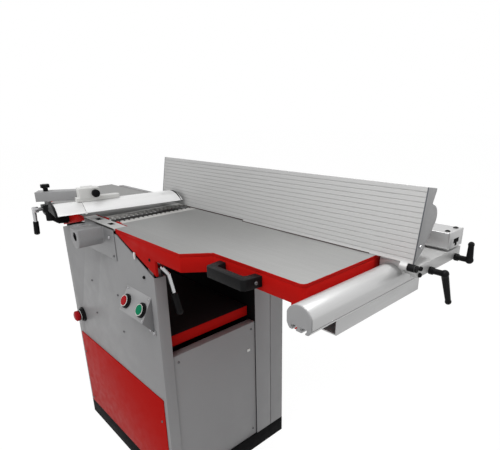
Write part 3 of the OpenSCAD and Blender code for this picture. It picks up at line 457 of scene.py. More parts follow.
def finish(name, tint, rough, metal=0.0, cloud=(5.0, 0.05), grain=(700.0, 0.10, 0.0002), lay=(1.0, 1.0, 1.0),
           shine=0.5):
    """Finish with a cloudy tint, uneven gloss and a fine grain.

    cloud is the scale and spread of the tint, and grain the scale, strength and depth of the bump.
    lay stretches both along the machine's axes.
    """
    cloud_scale, tint_spread = cloud
    grain_scale, grain_strength, grain_depth = grain
    mat = bpy.data.materials.new(name)
    mat.use_nodes = True
    nodes, links = mat.node_tree.nodes, mat.node_tree.links
    shader = nodes["Principled BSDF"]
    shader.inputs["Metallic"].default_value = metal
    shader.inputs["Specular IOR Level"].default_value = shine
    place = nodes.new("ShaderNodeTexCoord")
    stretch = nodes.new("ShaderNodeMapping")
    stretch.inputs["Scale"].default_value = lay
    links.new(place.outputs["Object"], stretch.inputs["Vector"])

    def noise(scale, detail):
        tex = nodes.new("ShaderNodeTexNoise")
        tex.inputs["Scale"].default_value = scale
        tex.inputs["Detail"].default_value = detail
        links.new(stretch.outputs["Vector"], tex.inputs["Vector"])
        return tex.outputs["Fac"]

    tone = nodes.new("ShaderNodeMix")
    tone.data_type = "RGBA"
    tone.inputs[MIX_A].default_value = [c * (1 - tint_spread) for c in tint] + [1.0]
    tone.inputs[MIX_B].default_value = [min(1.0, c * (1 + tint_spread)) for c in tint] + [1.0]
    links.new(noise(cloud_scale, detail=5.0), tone.inputs[MIX_FACTOR])
    links.new(tone.outputs[MIX_RESULT], shader.inputs["Base Color"])
    gloss = nodes.new("ShaderNodeMapRange")
    gloss.inputs["From Min"].default_value = GLOSS_NOISE[0]
    gloss.inputs["From Max"].default_value = GLOSS_NOISE[1]
    gloss.inputs["To Min"].default_value = max(LEAST_ROUGH, rough - GLOSS_SPREAD)
    gloss.inputs["To Max"].default_value = min(1.0, rough + GLOSS_SPREAD)
    links.new(noise(cloud_scale * GLOSS_FINER, detail=4.0), gloss.inputs["Value"])
    links.new(gloss.outputs["Result"], shader.inputs["Roughness"])
    bump = nodes.new("ShaderNodeBump")
    bump.inputs["Strength"].default_value = grain_strength
    bump.inputs["Distance"].default_value = grain_depth
    links.new(noise(grain_scale, detail=3.0), bump.inputs["Height"])
    links.new(bump.outputs["Normal"], shader.inputs["Normal"])
    return mat


def finishes():
    """Makes the finishes, or gives those that are there."""
    tints = bpy.context.scene.planer_colours
    looks = {
        "grey_paint": dict(tint=tints.panel, rough=0.46, cloud=(3.0, 0.04),
                           grain=(520.0, 0.16, 0.0004), shine=0.3),
        "red_paint": dict(tint=tints.red, rough=0.42, cloud=(4.0, 0.05),
                          grain=(420.0, 0.14, 0.0004), shine=0.02),
        # Lit and shaded copies of the panel's grey: the control box's face in painted light, its other faces
        # in painted shade
        "box_face_painted_light": dict(tint=(0.36, 0.36, 0.365), rough=0.4, cloud=(3.0, 0.04),
                            grain=(520.0, 0.12, 0.0003), shine=0.4),
        "box_painted_shade": dict(tint=(0.22, 0.22, 0.225), rough=0.5, cloud=(3.0, 0.04),
                          grain=(520.0, 0.16, 0.0004), shine=0.2),
        # dark_paint: near black, painted shade of the cabinet's inside, sunk holes, louvre openings, gaps and
        # the beam's mouth
        "dark_paint": dict(tint=tints.inside, rough=0.7, cloud=(6.0, 0.15),
                           grain=(500.0, 0.2, 0.0005), shine=0.04),
        "ground_iron": dict(tint=tints.table, rough=0.5, metal=0.35, cloud=(7.0, 0.10),
                            grain=(30.0, 0.12, 0.0002), lay=BRUSHED_X, shine=0.2),
        # Iron of the thicknesser table, painted nearly black as the shade inside the cabinet
        "bed_iron_painted_shade": dict(tint=(0.02, 0.02, 0.021), rough=0.6, cloud=(9.0, 0.15),
                         grain=(30.0, 0.2, 0.0003), lay=BRUSHED_X, shine=0.08),
        "iron": dict(tint=(0.16, 0.16, 0.165), rough=0.55, metal=0.4, cloud=(12.0, 0.15),
                     grain=(260.0, 0.4, 0.0008), shine=0.3),
        "cover_steel": dict(tint=(0.26, 0.26, 0.265), rough=0.42, metal=0.5, cloud=(5.0, 0.06),
                            grain=(40.0, 0.08, 0.0002), lay=BRUSHED_X),
        # dark_steel: nearly black steel; on the cutterblock, knives and bars the near black is partly painted
        # shade of the cutter gap, and on the throat plate's front it is painted shade
        "dark_steel": dict(tint=(0.035, 0.034, 0.033), rough=0.45, metal=0.4, cloud=(12.0, 0.1),
                           grain=(40.0, 0.1, 0.0002), lay=BRUSHED_Y, shine=0.15),
        "steel": dict(tint=(0.42, 0.42, 0.43), rough=0.32, metal=0.9, cloud=(10.0, 0.08),
                      grain=(40.0, 0.1, 0.0002), lay=BRUSHED_Y),
        # Steel of the lips, brightened as painted light against the guard's shadow on them
        "lip_steel_painted_light": dict(tint=(0.62, 0.61, 0.59), rough=0.45, metal=0.2, cloud=(10.0, 0.1),
                          grain=(40.0, 0.1, 0.0002), lay=BRUSHED_Y, shine=0.3),
        "chrome": dict(tint=(0.44, 0.44, 0.45), rough=0.22, metal=1.0, cloud=(14.0, 0.04),
                       grain=(200.0, 0.03, 0.0001)),
        "alloy": dict(tint=tints.rail, rough=0.38, metal=0.55, cloud=(6.0, 0.04),
                      grain=(40.0, 0.06, 0.0002), lay=BRUSHED_Y),
        "fence_alloy": dict(tint=tints.fence, rough=0.48, metal=0.3, cloud=(5.0, 0.04),
                            grain=(40.0, 0.06, 0.0002), lay=BRUSHED_X),
        "guard_alloy": dict(tint=tints.guard, rough=0.34, metal=0.15, cloud=(5.0, 0.02),
                            grain=(40.0, 0.04, 0.0002), lay=BRUSHED_Y),
        # Groove floors of the fence, darker as painted shade in the grooves
        "groove": dict(tint=(0.45, 0.45, 0.445), rough=0.5, metal=0.3, cloud=(5.0, 0.1),
                       grain=(40.0, 0.06, 0.0002), lay=BRUSHED_X),
        "black_plastic": dict(tint=tints.plastic, rough=0.42, cloud=(20.0, 0.2),
                              grain=(1400.0, 0.25, 0.0003), shine=0.07),
        "white_plastic": dict(tint=(0.78, 0.78, 0.76), rough=0.35, cloud=(30.0, 0.03),
                              grain=(900.0, 0.08, 0.0002)),
        "red_plastic": dict(tint=tints.stop, rough=0.3, cloud=(30.0, 0.08),
                            grain=(900.0, 0.08, 0.0002), shine=0.04),
        "green_plastic": dict(tint=tints.start, rough=0.3, cloud=(30.0, 0.08),
                              grain=(900.0, 0.08, 0.0002), shine=0.03),
        "grey_plastic": dict(tint=(0.34, 0.34, 0.345), rough=0.42, cloud=(15.0, 0.05),
                             grain=(1100.0, 0.2, 0.0003)),
        "motor_paint": dict(tint=(0.08, 0.085, 0.095), rough=0.45, cloud=(9.0, 0.12),
                            grain=(400.0, 0.25, 0.0005)),
        "belt": dict(tint=(0.02, 0.02, 0.02), rough=0.75, cloud=(20.0, 0.2),
                     grain=(600.0, 0.3, 0.0005), shine=0.2),
        # Dark brown of the fence's foot strip, partly painted shade of the gap under the fence
        "foot_strip_and_shadow": dict(tint=(0.035, 0.018, 0.014), rough=0.55, cloud=(25.0, 0.2),
                           grain=(500.0, 0.2, 0.0003)),
        "brass": dict(tint=(0.55, 0.38, 0.13), rough=0.34, metal=0.9, cloud=(12.0, 0.08),
                      grain=(200.0, 0.1, 0.0003)),
    }
    return {name: bpy.data.materials.get("finish_" + name) or finish("finish_" + name, **look)
            for name, look in looks.items()}


def on_frame(obj, place, across, up, out):
    """Moves a piece from its own axes to a frame of place, across, up and out."""
    turn = Matrix((across, up, out)).transposed().to_4x4()
    obj.data.transform(Matrix.Translation(Vector(place) * MM) @ turn)
    return obj


def on_guard(obj):
    """Moves a piece from the guard's own axes to the machine."""
    obj.data.transform(Matrix.Translation(GUARD_ORIGIN * MM) @ Matrix.Rotation(GUARD_TURN, 4, "Z"))
    return obj


def on_fence(obj):
    """Leans a piece with the fence; its Y runs behind the face and its Z up the face."""
    obj.data.transform(Matrix.Translation(FENCE_FOOT * MM) @ Matrix.Rotation(-FENCE_LEAN, 4, "X"))
    return obj


def screw_model(d, high):
    """Round screw head at the origin with a sunk socket."""
    crown = high * CROWN
    head = rod("screw", (0, 0, 0), (0, 0, high), d, sides=20)
    pick(head, lambda c, n: n.z > FACING)
    bpy.ops.mesh.bevel(offset=crown * MM, segments=2, affect="EDGES")
    bpy.ops.object.mode_set(mode="OBJECT")
    sink(head, lambda c, n: n.z > FACING, rim=d * (0.5 - SOCKET / 2) - crown, depth=high * SOCKET_DEPTH)
    take(head)
    bpy.ops.object.shade_smooth_by_angle(angle=math.radians(SMOOTH))
    return head


class PLANER_OT_cabinet(bpy.types.Operator):
    """Finishes the cabinet, its covers and what it holds, and adds shoulder folds and louvres."""

    bl_idname = "planer.cabinet"
    bl_label = "Cabinet"

    def execute(self, context):
        f = finishes()
        for node in ("lower_front_door", "rear_cover", "base_frame"):
            dress(node, f[SLOT_OF[node]])
        # The control box has the panel's grey; it takes painted shade, and its upward face painted light.
        wedge = dress("control_box", f["box_painted_shade"], edge=0.6)
        paint_faces(wedge, f["box_face_painted_light"], lambda c, n: n.dot(FACE_OUT) > FACING)
        dress("bearing_cover", f["cover_steel"])
        for node in ("front_panel", "end_panel_infeed", "end_panel_outfeed"):
            sheet = dress(node, f["grey_paint"])
            # Faces looking into the cabinet get painted shade.
            paint_faces(sheet, f["dark_paint"], self.looks_in)
        wall = dress("rear_wall", f["grey_paint"])
        # The rear wall inside the cabinet gets painted shade.
        paint_faces(wall, f["dark_paint"], lambda c, n: abs(c.x) < END_X - 1)
        plate = dress("throat_plate", f["fence_alloy"], edge=0.5)
        # The sunk holes are painted near black as shade.
        paint_faces(plate, f["dark_paint"], lambda c, n: within(c, THROAT_LOW, THROAT_HIGH))
        # The plate's front faces are painted nearly black as the shade under its front edge.
        paint_faces(plate, f["dark_steel"], lambda c, n: n.y < -LEANING)
        inner = ("head_front", "head_rear", "cutter_bearings", "motor", "drive_belt", "lift_pedestal",
                 "hinge_blocks", "cutter_pulley", "motor_pulley", "infeed_roller", "outfeed_roller",
                 "kickback_fingers", "lift_screw", "lift_nut")
        for node in inner:
            dress(node, f[SLOT_OF[node]], edge=0.4)
        bed = dress("thickness_table", f["red_paint"])
        # The bed's top and underside get painted shade.
        paint_faces(bed, f["bed_iron_painted_shade"], lambda c, n: abs(n.z) > SLOPING)
        self.shoulder_folds(f)
        self.louvres(f)
        return {"FINISHED"}

    def looks_in(self, c, n):
        """Faces of the cabinet's sheets that look into it, which get painted shade."""
        return abs(c.x) < END_X - 1 and (n.y > TURNED or c.x * n.x < -1)

    def louvres(self, f):
        """Pressed vent louvres in the motor's part of the rear cover, each open at its lower edge, whose face
        gets painted shade.
        """
        rows = []
        for row in range(LOUVRE_ROWS):
            z = LOUVRE_FOOT + LOUVRE_PITCH * row
            top = z + LOUVRE_HIGH
            vent = block("vent", (LOUVRE_X[0], LOUVRE_Y[0], z), (LOUVRE_X[1], LOUVRE_Y[1], top))
            pick(vent, lambda c, d: c.y > LOUVRE_Y[1] - 1 and c.z > top - 1 and abs(d.x) > FACING, "EDGE")
            bpy.ops.transform.translate(value=(0, -LOUVRE_SLANT * MM, 0))
            bpy.ops.object.mode_set(mode="OBJECT")
            round_edges(vent, width=1.0)
            vent.data.materials.append(f["grey_paint"])
            # The lower faces get painted shade, standing in for the louvres' openings.
            paint_faces(vent, f["dark_paint"], lambda c, n: n.z < -NEAR_FACING)
            rows.append(vent)
        piece = join("rear_louvres", rows)
        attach(piece, "cabinet")

    def shoulder_folds(self, f):
        """Folded sheets behind the front panel's slanted shoulders, which close the gap under the aprons;
        they are near black as painted shade of that gap.
        """
        folds = []
        front = FRONT_Y + FOLD_BACK
        middle = (FOLD_FOOT + FOLD_BLANK) / 2
        for inner, outer in SHOULDERS:
            x_low, x_high = sorted((inner[0], outer[0]))
            fold = block("fold", (x_low, front, FOLD_FOOT), (x_high, front + FOLD_SHEET, FOLD_BLANK))
            for x, z in (inner, outer):
                pick(fold, lambda c, d: c.z > middle and abs(c.x - x) < 1 and abs(d.y) > FACING, "EDGE")
                bpy.ops.transform.translate(value=(0, 0, (z - FOLD_BLANK) * MM))
                bpy.ops.object.mode_set(mode="OBJECT")
            pick(fold, lambda c, n: n.z < -FACING)
            bpy.ops.mesh.extrude_region_move(TRANSFORM_OT_translate={"value": (0, 0, -FOLD_SHEET * MM)})
            bpy.ops.object.mode_set(mode="OBJECT")
            pick(fold, lambda c, n: n.y < -FACING and c.z < FOLD_FOOT + 1)
            bpy.ops.mesh.extrude_region_move(TRANSFORM_OT_translate={"value": (0, -FOLD_LIP * MM, 0)})
            bpy.ops.object.mode_set(mode="OBJECT")
            round_edges(fold, width=0.8)
            folds.append(fold)
        # The folds take the near black of painted shade.
        fit(join("shoulder_folds", folds), "cabinet", f["dark_paint"], "dark_paint")


class PLANER_OT_tables(bpy.types.Operator):
    """Finishes the tables, with ground tops and painted edges, and their lips, aprons, beams and handle."""

    bl_idname = "planer.tables"
    bl_label = "Tables"

    def execute(self, context):
        f = finishes()
        # The lips' steel is brightened as painted light.
        for node, steel, edge in (("infeed_table", "ground_iron", 0.8), ("outfeed_table", "ground_iron", 0.8),
                                  ("infeed_lip", "lip_steel_painted_light", 0.4), ("outfeed_lip", "lip_steel_painted_light", 0.4)):
            top = dress(node, f["red_paint"], edge)
            pick(top, lambda c, n: True)
            bpy.ops.mesh.bisect(plane_co=(0, PAINTED_HIGH[1] * MM, 0), plane_no=BACK)
            bpy.ops.object.mode_set(mode="OBJECT")
            paint_faces(top, f[steel], lambda c, n: (n.z > SLOPING or steel == "lip_steel_painted_light")
                        and not within(c, PAINTED_LOW, PAINTED_HIGH))
        for node in ("infeed_apron", "outfeed_apron"):
            dress(node, f["red_paint"])
        dress("table_beams", f["grey_paint"])
        dress("table_handle", f["black_plastic"], edge=1.6)
        return {"FINISHED"}


class PLANER_OT_cutterblock(bpy.types.Operator):
    """Sets four planer knives with their clamping bars and screws in the cutterblock."""

    bl_idname = "planer.cutterblock"
    bl_label = "Cutterblock"

    def execute(self, context):
        f = finishes()
        thick = context.scene.planer_sizes.knife / MM
        # The cutterblock's near black is partly painted shade of the cutter gap.
        dress("cutter_head", f["dark_steel"], edge=0.5)
        edge_z = CUTTER.z + KNIFE_Z[1] - 1
        edge_x = CUTTER.x + KNIFE_X + 1
        knives, bars = [], []
        for count in range(KNIVES):
            angle = math.radians(FIRST_KNIFE + 360 / KNIVES * count)
            turn = (Matrix.Translation(CUTTER * MM) @ Matrix.Rotation(angle, 4, "Y")
                    @ Matrix.Translation(-CUTTER * MM))
            knife = block("knife", CUTTER + Vector((KNIFE_X, KNIFE_Y[0], KNIFE_Z[0])),
                          CUTTER + Vector((KNIFE_X + thick, KNIFE_Y[1], KNIFE_Z[1])))
            pick(knife, lambda c, d: c.z > edge_z and c.x < edge_x and abs(d.y) > FACING, "EDGE")
            bpy.ops.mesh.bevel(offset=KNIFE_BEVEL * MM, segments=1, affect="EDGES")
            bpy.ops.object.mode_set(mode="OBJECT")
            knife.data.transform(turn)
            knives.append(knife)
            bar = block("bar", CUTTER + BAR_LOW, CUTTER + BAR_HIGH)
            round_edges(bar, width=1.0)
            spots = [(CUTTER + BAR_SCREW + Vector((0, BAR_SCREW_PITCH * i, 0)), UP)
                     for i in range(BAR_SCREWS)]
            heads = spread("heads", screw_model(d=6.5, high=2.2), spots)
            bar = join("bar", [bar, heads])
            bar.data.transform(turn)
            bars.append(bar)
        # Knives and bars take the near black steel, partly as painted shade of the cutter gap.
        fit(join("planer_knives", knives), "cutterblock", f["dark_steel"], "steel")
        fit(join("knife_bars", bars), "cutterblock", f["dark_steel"], "steel")
        return {"FINISHED"}


class PLANER_OT_fence(bpy.types.Operator):
    """Finishes the fence, its rail and carriage, and adds screws, the beam's end plate and the foot strip."""

    bl_idname = "planer.fence"
    bl_label = "Fence"

    def execute(self, context):
        f = finishes()
        board = dress("fence_board", f["fence_alloy"], edge=0.25, segments=1)
        # The grooves get painted shade.
        paint_faces(board, f["groove"], self.in_groove)
        for node, edge in (("fence_rail", 0.6), ("fence_beam", 1.2), ("rail_bracket", 1.0)):
            dress(node, f["alloy"], edge)
        saddle = dress("fence_carriage", f["fence_alloy"], edge=1.0)
        paint_faces(saddle, f["black_plastic"], self.in_ear)
        ends = dress("fence_end_caps", f["grey_plastic"], edge=0.5)
        paint_faces(ends, f["motor_paint"], lambda c, n: n.y < -NEAR_FACING)
        dress("rail_end_caps", f["grey_plastic"], edge=1.4, segments=3)
        for node in ("cross_clamp_lever", "tilt_clamp_lever"):
            dress(node, f["black_plastic"], edge=1.2, segments=3)
        # The foot strip and a thin strip of painted shadow along the gap under the fence.
        strip = join("fence_foot_strip_and_gap_shadow", [block("strip", *FOOT_STRIP), block("gap_shadow", *FOOT_GAP_SHADOW)])
        round_edges(on_fence(strip), width=0.5)
        fit(strip, "fence", f["foot_strip_and_shadow"], "black_plastic")
        self.beam_end(f)
        bush = rod("pivot_bush", *PIVOT_BUSH, d=15.5)
        round_edges(bush, width=1.2, segments=3)
        heads = spread("heads", screw_model(d=10, high=3.0), [(place, SIDE) for place in CARRIAGE_SCREWS])
        fit(join("carriage_screws", [bush, heads]), "carriage", f["black_plastic"], "black_plastic")
        heads = spread("beam_screws", screw_model(d=12, high=1.2), [(place, UP) for place in BEAM_SCREWS])
        fit(heads, "carriage", f["dark_steel"], "steel")
        spots = [((x, *FENCE_END_SCREW), (1 if x > 0 else -1, 0, 0)) for x in FENCE_ENDS]
        fit(spread("fence_end_screws", screw_model(d=7, high=2.4), spots), "fence", f["chrome"], "chrome")
        return {"FINISHED"}

    def in_groove(self, c, n):
        """Faces in the grooves of the fence's face, which get painted shade."""
        c = c - FENCE_FOOT
        behind = c.y * math.cos(FENCE_LEAN) - c.z * math.sin(FENCE_LEAN)
        return GROOVE_BEHIND[0] < behind < GROOVE_BEHIND[1] and c.z < GROOVE_TOP

    def in_ear(self, c, n):
        """Faces of the carriage's pivot ear, without its outer side."""
        return c.x > EAR.x and c.y < EAR.y and c.z > EAR.z and n.x < LEANING

    def beam_end(self, f):
        """End plate of the box beam, with a near black block in its T-shaped mouth as painted shade."""
        plate = block("beam_end_plate", *BEAM_END)
        round_edges(plate, width=0.8)
        fit(plate, "carriage", f["alloy"], "alloy")
        # The mouth is a near black block, painted shade of the hollow beam.
        mouth = join("beam_mouth_shade", [block("bar", *MOUTH_BAR), block("stem", *MOUTH_STEM)])
        round_edges(mouth, width=0.25, segments=1)
        fit(mouth, "carriage", f["dark_paint"], "dark_paint")


class PLANER_OT_guard(bpy.types.Operator):
    """Finishes the bridge guard with its arm and knobs, and adds its end caps and the lever's grip."""

    bl_idname = "planer.guard"
    bl_label = "Guard"

    def execute(self, context):
        f = finishes()
        for node in ("guard_board", "guard_flap"):
            arch = dress(node, f["guard_alloy"], edge=0.4, segments=2, angle=25.0)
            paint_faces(arch, f["black_plastic"], lambda c, n: abs(n.y) > NEAR_FACING)
        dress("guard_arm", f[SLOT_OF["guard_arm"]], edge=1.5)
        dress("guard_clamp", f["white_plastic"], edge=2.5, segments=3)
        dress("guard_base", f["black_plastic"], edge=3.0, segments=3)
        dress("guard_lever", f["chrome"], edge=1.0)
        for node in ("guard_star_knob", "guard_clamp_knob"):
            dress(node, f["black_plastic"], edge=2.0, segments=3)
        thick = context.scene.planer_sizes.cap / MM
        lapped = NEAR_END + CAP_LAP
        near = on_guard(self.cap("guard_cap_near", lapped - thick, lapped, **NEAR_CAP))
        fit(near, "guard_front", f["black_plastic"], "black_plastic")
        far = self.cap("guard_cap_far", FAR_END - thick, FAR_END, **FAR_CAP)
        far.data.transform(Matrix.Translation(FAR_SHIFT * MM))
        fit(far, "guard_main", f["black_plastic"], "black_plastic")
        grip = rod("guard_lever_grip", *LEVER_GRIP, d=17, d2=18.5)
        round_edges(grip, width=4.0, segments=3)
        fit(grip, "post_lever", f["black_plastic"], "black_plastic")
        return {"FINISHED"}

    def cap(self, name, y0, y1, radius, stretch):
        """End cap with the guard's arched section between two values of Y."""
        low = GUARD_RIDGE - ARCH_HIGH
        deselect()
        bpy.ops.mesh.primitive_circle_add(vertices=120, radius=radius * MM, fill_type="NGON",
                                          location=(0, y0 * MM, (GUARD_RIDGE - ARCH_R) * MM),
                                          rotation=(math.radians(90), 0, 0), scale=(stretch, 1, 1))
        piece = settle(name)
        pick(piece, lambda c, n: True)
        bpy.ops.mesh.bisect(plane_co=(0, 0, low * MM), plane_no=UP, clear_inner=True)
        bpy.ops.mesh.select_all(action="SELECT")
        bpy.ops.mesh.extrude_region_move(TRANSFORM_OT_translate={"value": (0, (y1 - y0) * MM, 0)})
        bpy.ops.mesh.select_all(action="SELECT")
        bpy.ops.mesh.normals_make_consistent(inside=False)
        bpy.ops.object.mode_set(mode="OBJECT")
        round_edges(piece, width=1.8, segments=3)
        return piece


class PLANER_OT_controls(bpy.types.Operator):
    """Finishes the buttons and the lock lever, and adds the buttons' collars."""

    bl_idname = "planer.controls"
    bl_label = "Controls"

    def execute(self, context):
        f = finishes()
        for node in ("stop_button", "start_button", "emergency_knob", "lock_grip"):
            dress(node, f[SLOT_OF[node]], edge=0.8, segments=3)
        dress("button_bezels", f["black_plastic"], edge=0.8, segments=3)
        dress("lock_lever", f["chrome"], edge=0.5)
        collars = []
        for x in BUTTONS:
            ring = self.collar(d=context.scene.planer_sizes.collar / MM, **BUTTON_COLLAR)
            place = Vector((x, FACE_MID.y, FACE_MID.z)) - FACE_UP * BUTTON_DROP
            collars.append(on_frame(ring, place, Vector(SIDE), FACE_UP, FACE_OUT))
        ring = self.collar(**EMERGENCY_COLLAR)
        collars.append(on_frame(ring, EMERGENCY, Vector(SIDE), Vector(UP), Vector(FRONT)))
        fit(join("button_collars", collars), "cabinet", f["white_plastic"], "white_plastic")
        return {"FINISHED"}

    def collar(self, d, bore, low, high):
        """Ring round a button, standing along +Z, with the radius of its bore."""
        ring = rod("collar", (0, 0, low), (0, 0, high), d, sides=48)
        cut(ring, rod("bore", (0, 0, low - 1), (0, 0, high + 1), 2 * bore, sides=48))
        round_edges(ring, width=0.6)
        return ring


class PLANER_OT_handwheel(bpy.types.Operator):
    """Makes the spoked handwheel of the thicknesser lift with its shaft."""

    bl_idname = "planer.handwheel"
    bl_label = "Handwheel"

    def execute(self, context):
        f = finishes()
        rim = context.scene.planer_sizes.rim / MM
        x, y, z = WHEEL
        deselect()
        bpy.ops.mesh.primitive_torus_add(major_radius=(WHEEL_REACH - rim / 2) * MM, minor_radius=rim / 2 * MM,
                                         major_segments=72, minor_segments=18, location=WHEEL * MM,
                                         rotation=(0, math.radians(90), 0))
        parts = [settle("rim")]
        hub = rod("hub", (x + HUB[0], y, z), (x + HUB[1], y, z), d=44, sides=48)
        round_edges(hub, width=3.0, segments=3)
        sink(hub, lambda c, n: n.x < -FACING, rim=7, depth=3)
        parts.append(hub)
        for turn in SPOKES:
            a = math.radians(turn)
            tip = (x, y + math.cos(a) * (WHEEL_REACH - rim), z + math.sin(a) * (WHEEL_REACH - rim))
            parts.append(rod("spoke", (x + SPOKE_START, y, z), tip, d=16, d2=13, sides=20))
        crank = z + CRANK_UP
        knob = rod("knob", (x + CRANK_KNOB[0], y, crank), (x + CRANK_KNOB[1], y, crank), d=24, d2=17)
        round_edges(knob, width=4.0, segments=3)
        parts += [knob, rod("pin", (x + CRANK_PIN[0], y, crank), (x + CRANK_PIN[1], y, crank), d=11)]
        for part in parts:
            take(part)
            bpy.ops.object.shade_smooth_by_angle(angle=math.radians(SMOOTH))
        fit(join("handwheel_spoked", parts), "wheel", f["black_plastic"], "black_plastic", "handwheel")
        shaft = join("handwheel_shaft", [rod("shaft", (x + SHAFT_START, y, z), (SHAFT_END, y, z), d=20),
                                         rod("pinion", (PINION[0], y, z), (PINION[1], y, z), d=28, d2=20)])
        round_edges(shaft, width=0.8)
        fit(shaft, "wheel", f["steel"], "steel")
        return {"FINISHED"}


class PLANER_OT_fasteners(bpy.types.Operator):
    """Sets the screws of the cabinet and the tables, and the cabinet's tab, lock and pointer."""

    bl_idname = "planer.fasteners"
    bl_label = "Fasteners"

    def execute(self, context):
        f = finishes()
        d = context.scene.planer_sizes.screw / MM
        plain = [((x, FRONT_Y, z), FRONT) for x, z in PANEL_SCREWS]
        plain += [((x, FRONT_Y - PROUD, z), FRONT) for x, z in HOOD_SCREWS]
        plain += [((x, FRONT_Y - PROUD, z), FRONT) for x in DOOR_SCREWS_X for z in DOOR_SCREWS_Z]
        plain += [((x, REAR_Y, z), BACK) for x in REAR_SCREWS_X for z in REAR_SCREWS_Z]
        plain += [((s * END_FACE, y, z), (s, 0, 0))
                  for s in (-1, 1) for y in END_SCREWS_Y for z in END_SCREWS_Z]
        fit(spread("cabinet_screws", screw_model(d - PLAIN_LESS, high=1.8), plain), "cabinet",
            f["iron"], "steel")
        bright = [(place, FRONT) for place in (HOOD_BRIGHT_SCREW, *TAB_SCREWS)]
        for x in BOX_SCREWS_X:
            for up in BOX_SCREWS_UP:
                bright.append((Vector((x, FACE_MID.y, FACE_MID.z)) + FACE_UP * up, FACE_OUT))
        fit(spread("control_screws", screw_model(d - BRIGHT_LESS, high=1.8), bright), "cabinet",
            f["steel"], "steel")
        fit(spread("panel_cap_screw", screw_model(d=9, high=3.0), [(CAP_SCREW, FRONT)]), "cabinet",
            f["black_plastic"], "black_plastic")
        fit(spread("apron_set_screw", screw_model(d=9, high=0.9), [(SET_SCREW, FRONT)]), "infeed",
            f["black_plastic"], "black_plastic")
        fit(spread("handle_screws", screw_model(d=7.5, high=1.6), HANDLE_SCREWS), "infeed",
            f["iron"], "steel")
        tab = block("box_tab", *BOX_TAB)
        round_edges(tab, width=0.7)
        fit(tab, "cabinet", f["grey_paint"], "grey_paint")
        lock = block("panel_lock", *PANEL_LOCK)
        round_edges(lock, width=1.2, segments=3)
        fit(lock, "cabinet", f["white_plastic"], "white_plastic")
        pointer = block("depth_pointer", *POINTER)
        round_edges(pointer, width=2.0, segments=3)
        fit(pointer, "cabinet", f["white_plastic"], "white_plastic")
        return {"FINISHED"}


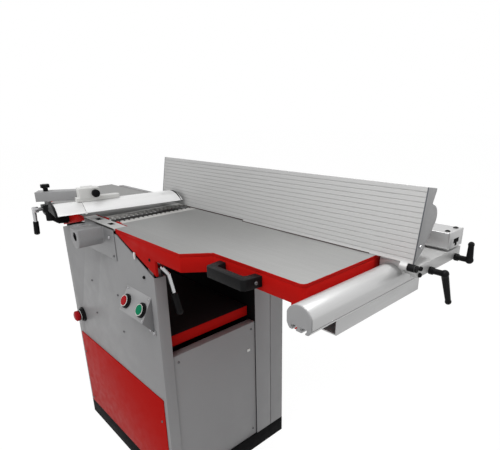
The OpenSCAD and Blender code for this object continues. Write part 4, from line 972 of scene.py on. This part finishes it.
class PLANER_OT_stage(bpy.types.Operator):
    """Makes the pale floor, the even light, the lamps and the camera."""

    bl_idname = "planer.stage"
    bl_label = "Stage"

    def execute(self, context):
        studio = context.scene.planer_studio
        deselect()
        bpy.ops.mesh.primitive_plane_add(size=FLOOR_SIZE, location=(0, 0, -FLOOR_DROP))
        floor = settle("floor")
        floor.data.materials.append(self.floor_finish())
        self.sky(studio.sky)
        self.lamp("key_lamp", "AREA", studio.key, **KEY_LAMP).size = KEY_SIZE
        self.lamp("side_lamp", "AREA", studio.side, **SIDE_LAMP).size = SIDE_SIZE
        spot = self.lamp("top_lamp", "SPOT", studio.top, **TOP_LAMP)
        spot.spot_size = TOP_CONE
        spot.spot_blend = 1.0
        spot.shadow_soft_size = TOP_SOFTNESS
        self.camera(studio)
        context.scene.view_settings.view_transform = "Standard"
        return {"FINISHED"}

    def seen_ray(self, nodes, links):
        """One for camera, glossy and transmission rays."""
        path = nodes.new("ShaderNodeLightPath")
        seen = path.outputs["Is Camera Ray"]
        for other in ("Is Glossy Ray", "Is Transmission Ray"):
            either = nodes.new("ShaderNodeMath")
            either.operation = "MAXIMUM"
            links.new(seen, either.inputs[0])
            links.new(path.outputs[other], either.inputs[1])
            seen = either.outputs[0]
        return seen

    def floor_finish(self):
        """White floor that keeps the shadow."""
        mat = bpy.data.materials.new("studio_floor")
        mat.use_nodes = True
        nodes, links = mat.node_tree.nodes, mat.node_tree.links
        nodes.remove(nodes["Principled BSDF"])
        matt = nodes.new("ShaderNodeBsdfDiffuse")
        matt.inputs["Color"].default_value = FLOOR_WHITE
        glow = nodes.new("ShaderNodeEmission")
        glow.inputs["Strength"].default_value = FLOOR_GLOW
        share = nodes.new("ShaderNodeMath")
        share.operation = "MULTIPLY"
        share.inputs[1].default_value = FLOOR_GLOW_SHARE
        links.new(self.seen_ray(nodes, links), share.inputs[0])
        both = nodes.new("ShaderNodeMixShader")
        links.new(share.outputs[0], both.inputs[0])
        links.new(matt.outputs[0], both.inputs[1])
        links.new(glow.outputs[0], both.inputs[2])
        links.new(both.outputs[0], nodes["Material Output"].inputs["Surface"])
        return mat

    def sky(self, strength):
        """White backdrop with a weaker light on the machine."""
        world = bpy.data.worlds.new("studio")
        bpy.context.scene.world = world
        world.use_nodes = True
        nodes, links = world.node_tree.nodes, world.node_tree.links
        level = nodes.new("ShaderNodeMapRange")
        level.inputs["To Min"].default_value = strength
        level.inputs["To Max"].default_value = 1.0
        links.new(self.seen_ray(nodes, links), level.inputs["Value"])
        links.new(level.outputs["Result"], nodes["Background"].inputs["Strength"])
        nodes["Background"].inputs["Color"].default_value = (1, 1, 1, 1)

    def lamp(self, name, kind, power, place, target):
        """Lamp that faces a point; gives its data for the settings of its kind."""
        deselect()
        bpy.ops.object.light_add(type=kind, location=place)
        lamp = bpy.context.object
        lamp.name = name
        lamp.rotation_euler = (Vector(target) - Vector(place)).to_track_quat("-Z", "Y").to_euler()
        lamp.data.energy = power
        return lamp.data

    def camera(self, studio):
        """Camera at the photograph's viewing angle."""
        level = math.cos(CAMERA_DOWN)
        ahead = Vector((-math.sin(CAMERA_ACROSS) * level, math.cos(CAMERA_ACROSS) * level,
                        -math.sin(CAMERA_DOWN)))
        right = Vector((math.cos(CAMERA_ACROSS), math.sin(CAMERA_ACROSS), 0))
        under = ahead.cross(right)
        right, under = (math.cos(CAMERA_ROLL) * right + math.sin(CAMERA_ROLL) * under,
                        math.cos(CAMERA_ROLL) * under - math.sin(CAMERA_ROLL) * right)
        deselect()
        bpy.ops.object.camera_add(location=studio.camera)
        eye = bpy.context.object
        eye.name = "camera"
        eye.rotation_euler = Matrix((right, -under, -ahead)).transposed().to_euler()
        eye.data.lens = studio.lens
        eye.data.sensor_width = CAMERA_SENSOR
        eye.data.sensor_fit = "HORIZONTAL"
        eye.data.shift_y = CAMERA_SHIFT
        eye.data.clip_start = CAMERA_NEAR
        bpy.context.scene.camera = eye


class PLANER_PT_panel(bpy.types.Panel):
    """Lists the machine's pieces and their values."""

    bl_label = "Planer thicknesser"
    bl_idname = "PLANER_PT_panel"
    bl_space_type = "VIEW_3D"
    bl_region_type = "UI"
    bl_category = "Planer"

    def draw(self, context):
        for step in STEPS:
            self.layout.operator(step.bl_idname)
        for group in GROUPS:
            values = getattr(context.scene, group)
            for key in values.__annotations__:
                self.layout.prop(values, key)


STEPS = (PLANER_OT_stage, PLANER_OT_cabinet, PLANER_OT_tables, PLANER_OT_cutterblock, PLANER_OT_fence,
         PLANER_OT_guard, PLANER_OT_controls, PLANER_OT_handwheel, PLANER_OT_fasteners)
GROUPS = {"planer_colours": PlanerColours, "planer_sizes": PlanerSizes, "planer_studio": PlanerStudio}


def register():
    """Registers the classes and the scene's properties."""
    for cls in (*GROUPS.values(), *STEPS, PLANER_PT_panel):
        bpy.utils.register_class(cls)
    for name, cls in GROUPS.items():
        setattr(bpy.types.Scene, name, bpy.props.PointerProperty(type=cls))


def unregister():
    """Removes the properties and the classes."""
    for name in GROUPS:
        delattr(bpy.types.Scene, name)
    for cls in (PLANER_PT_panel, *reversed(STEPS), *reversed(GROUPS.values())):
        bpy.utils.unregister_class(cls)


def main():
    """Builds the stage and the machine's pieces."""
    register()
    for step in STEPS:
        area, name = step.bl_idname.split(".")
        getattr(getattr(bpy.ops, area), name)()


if __name__ == "__main__":
    main()
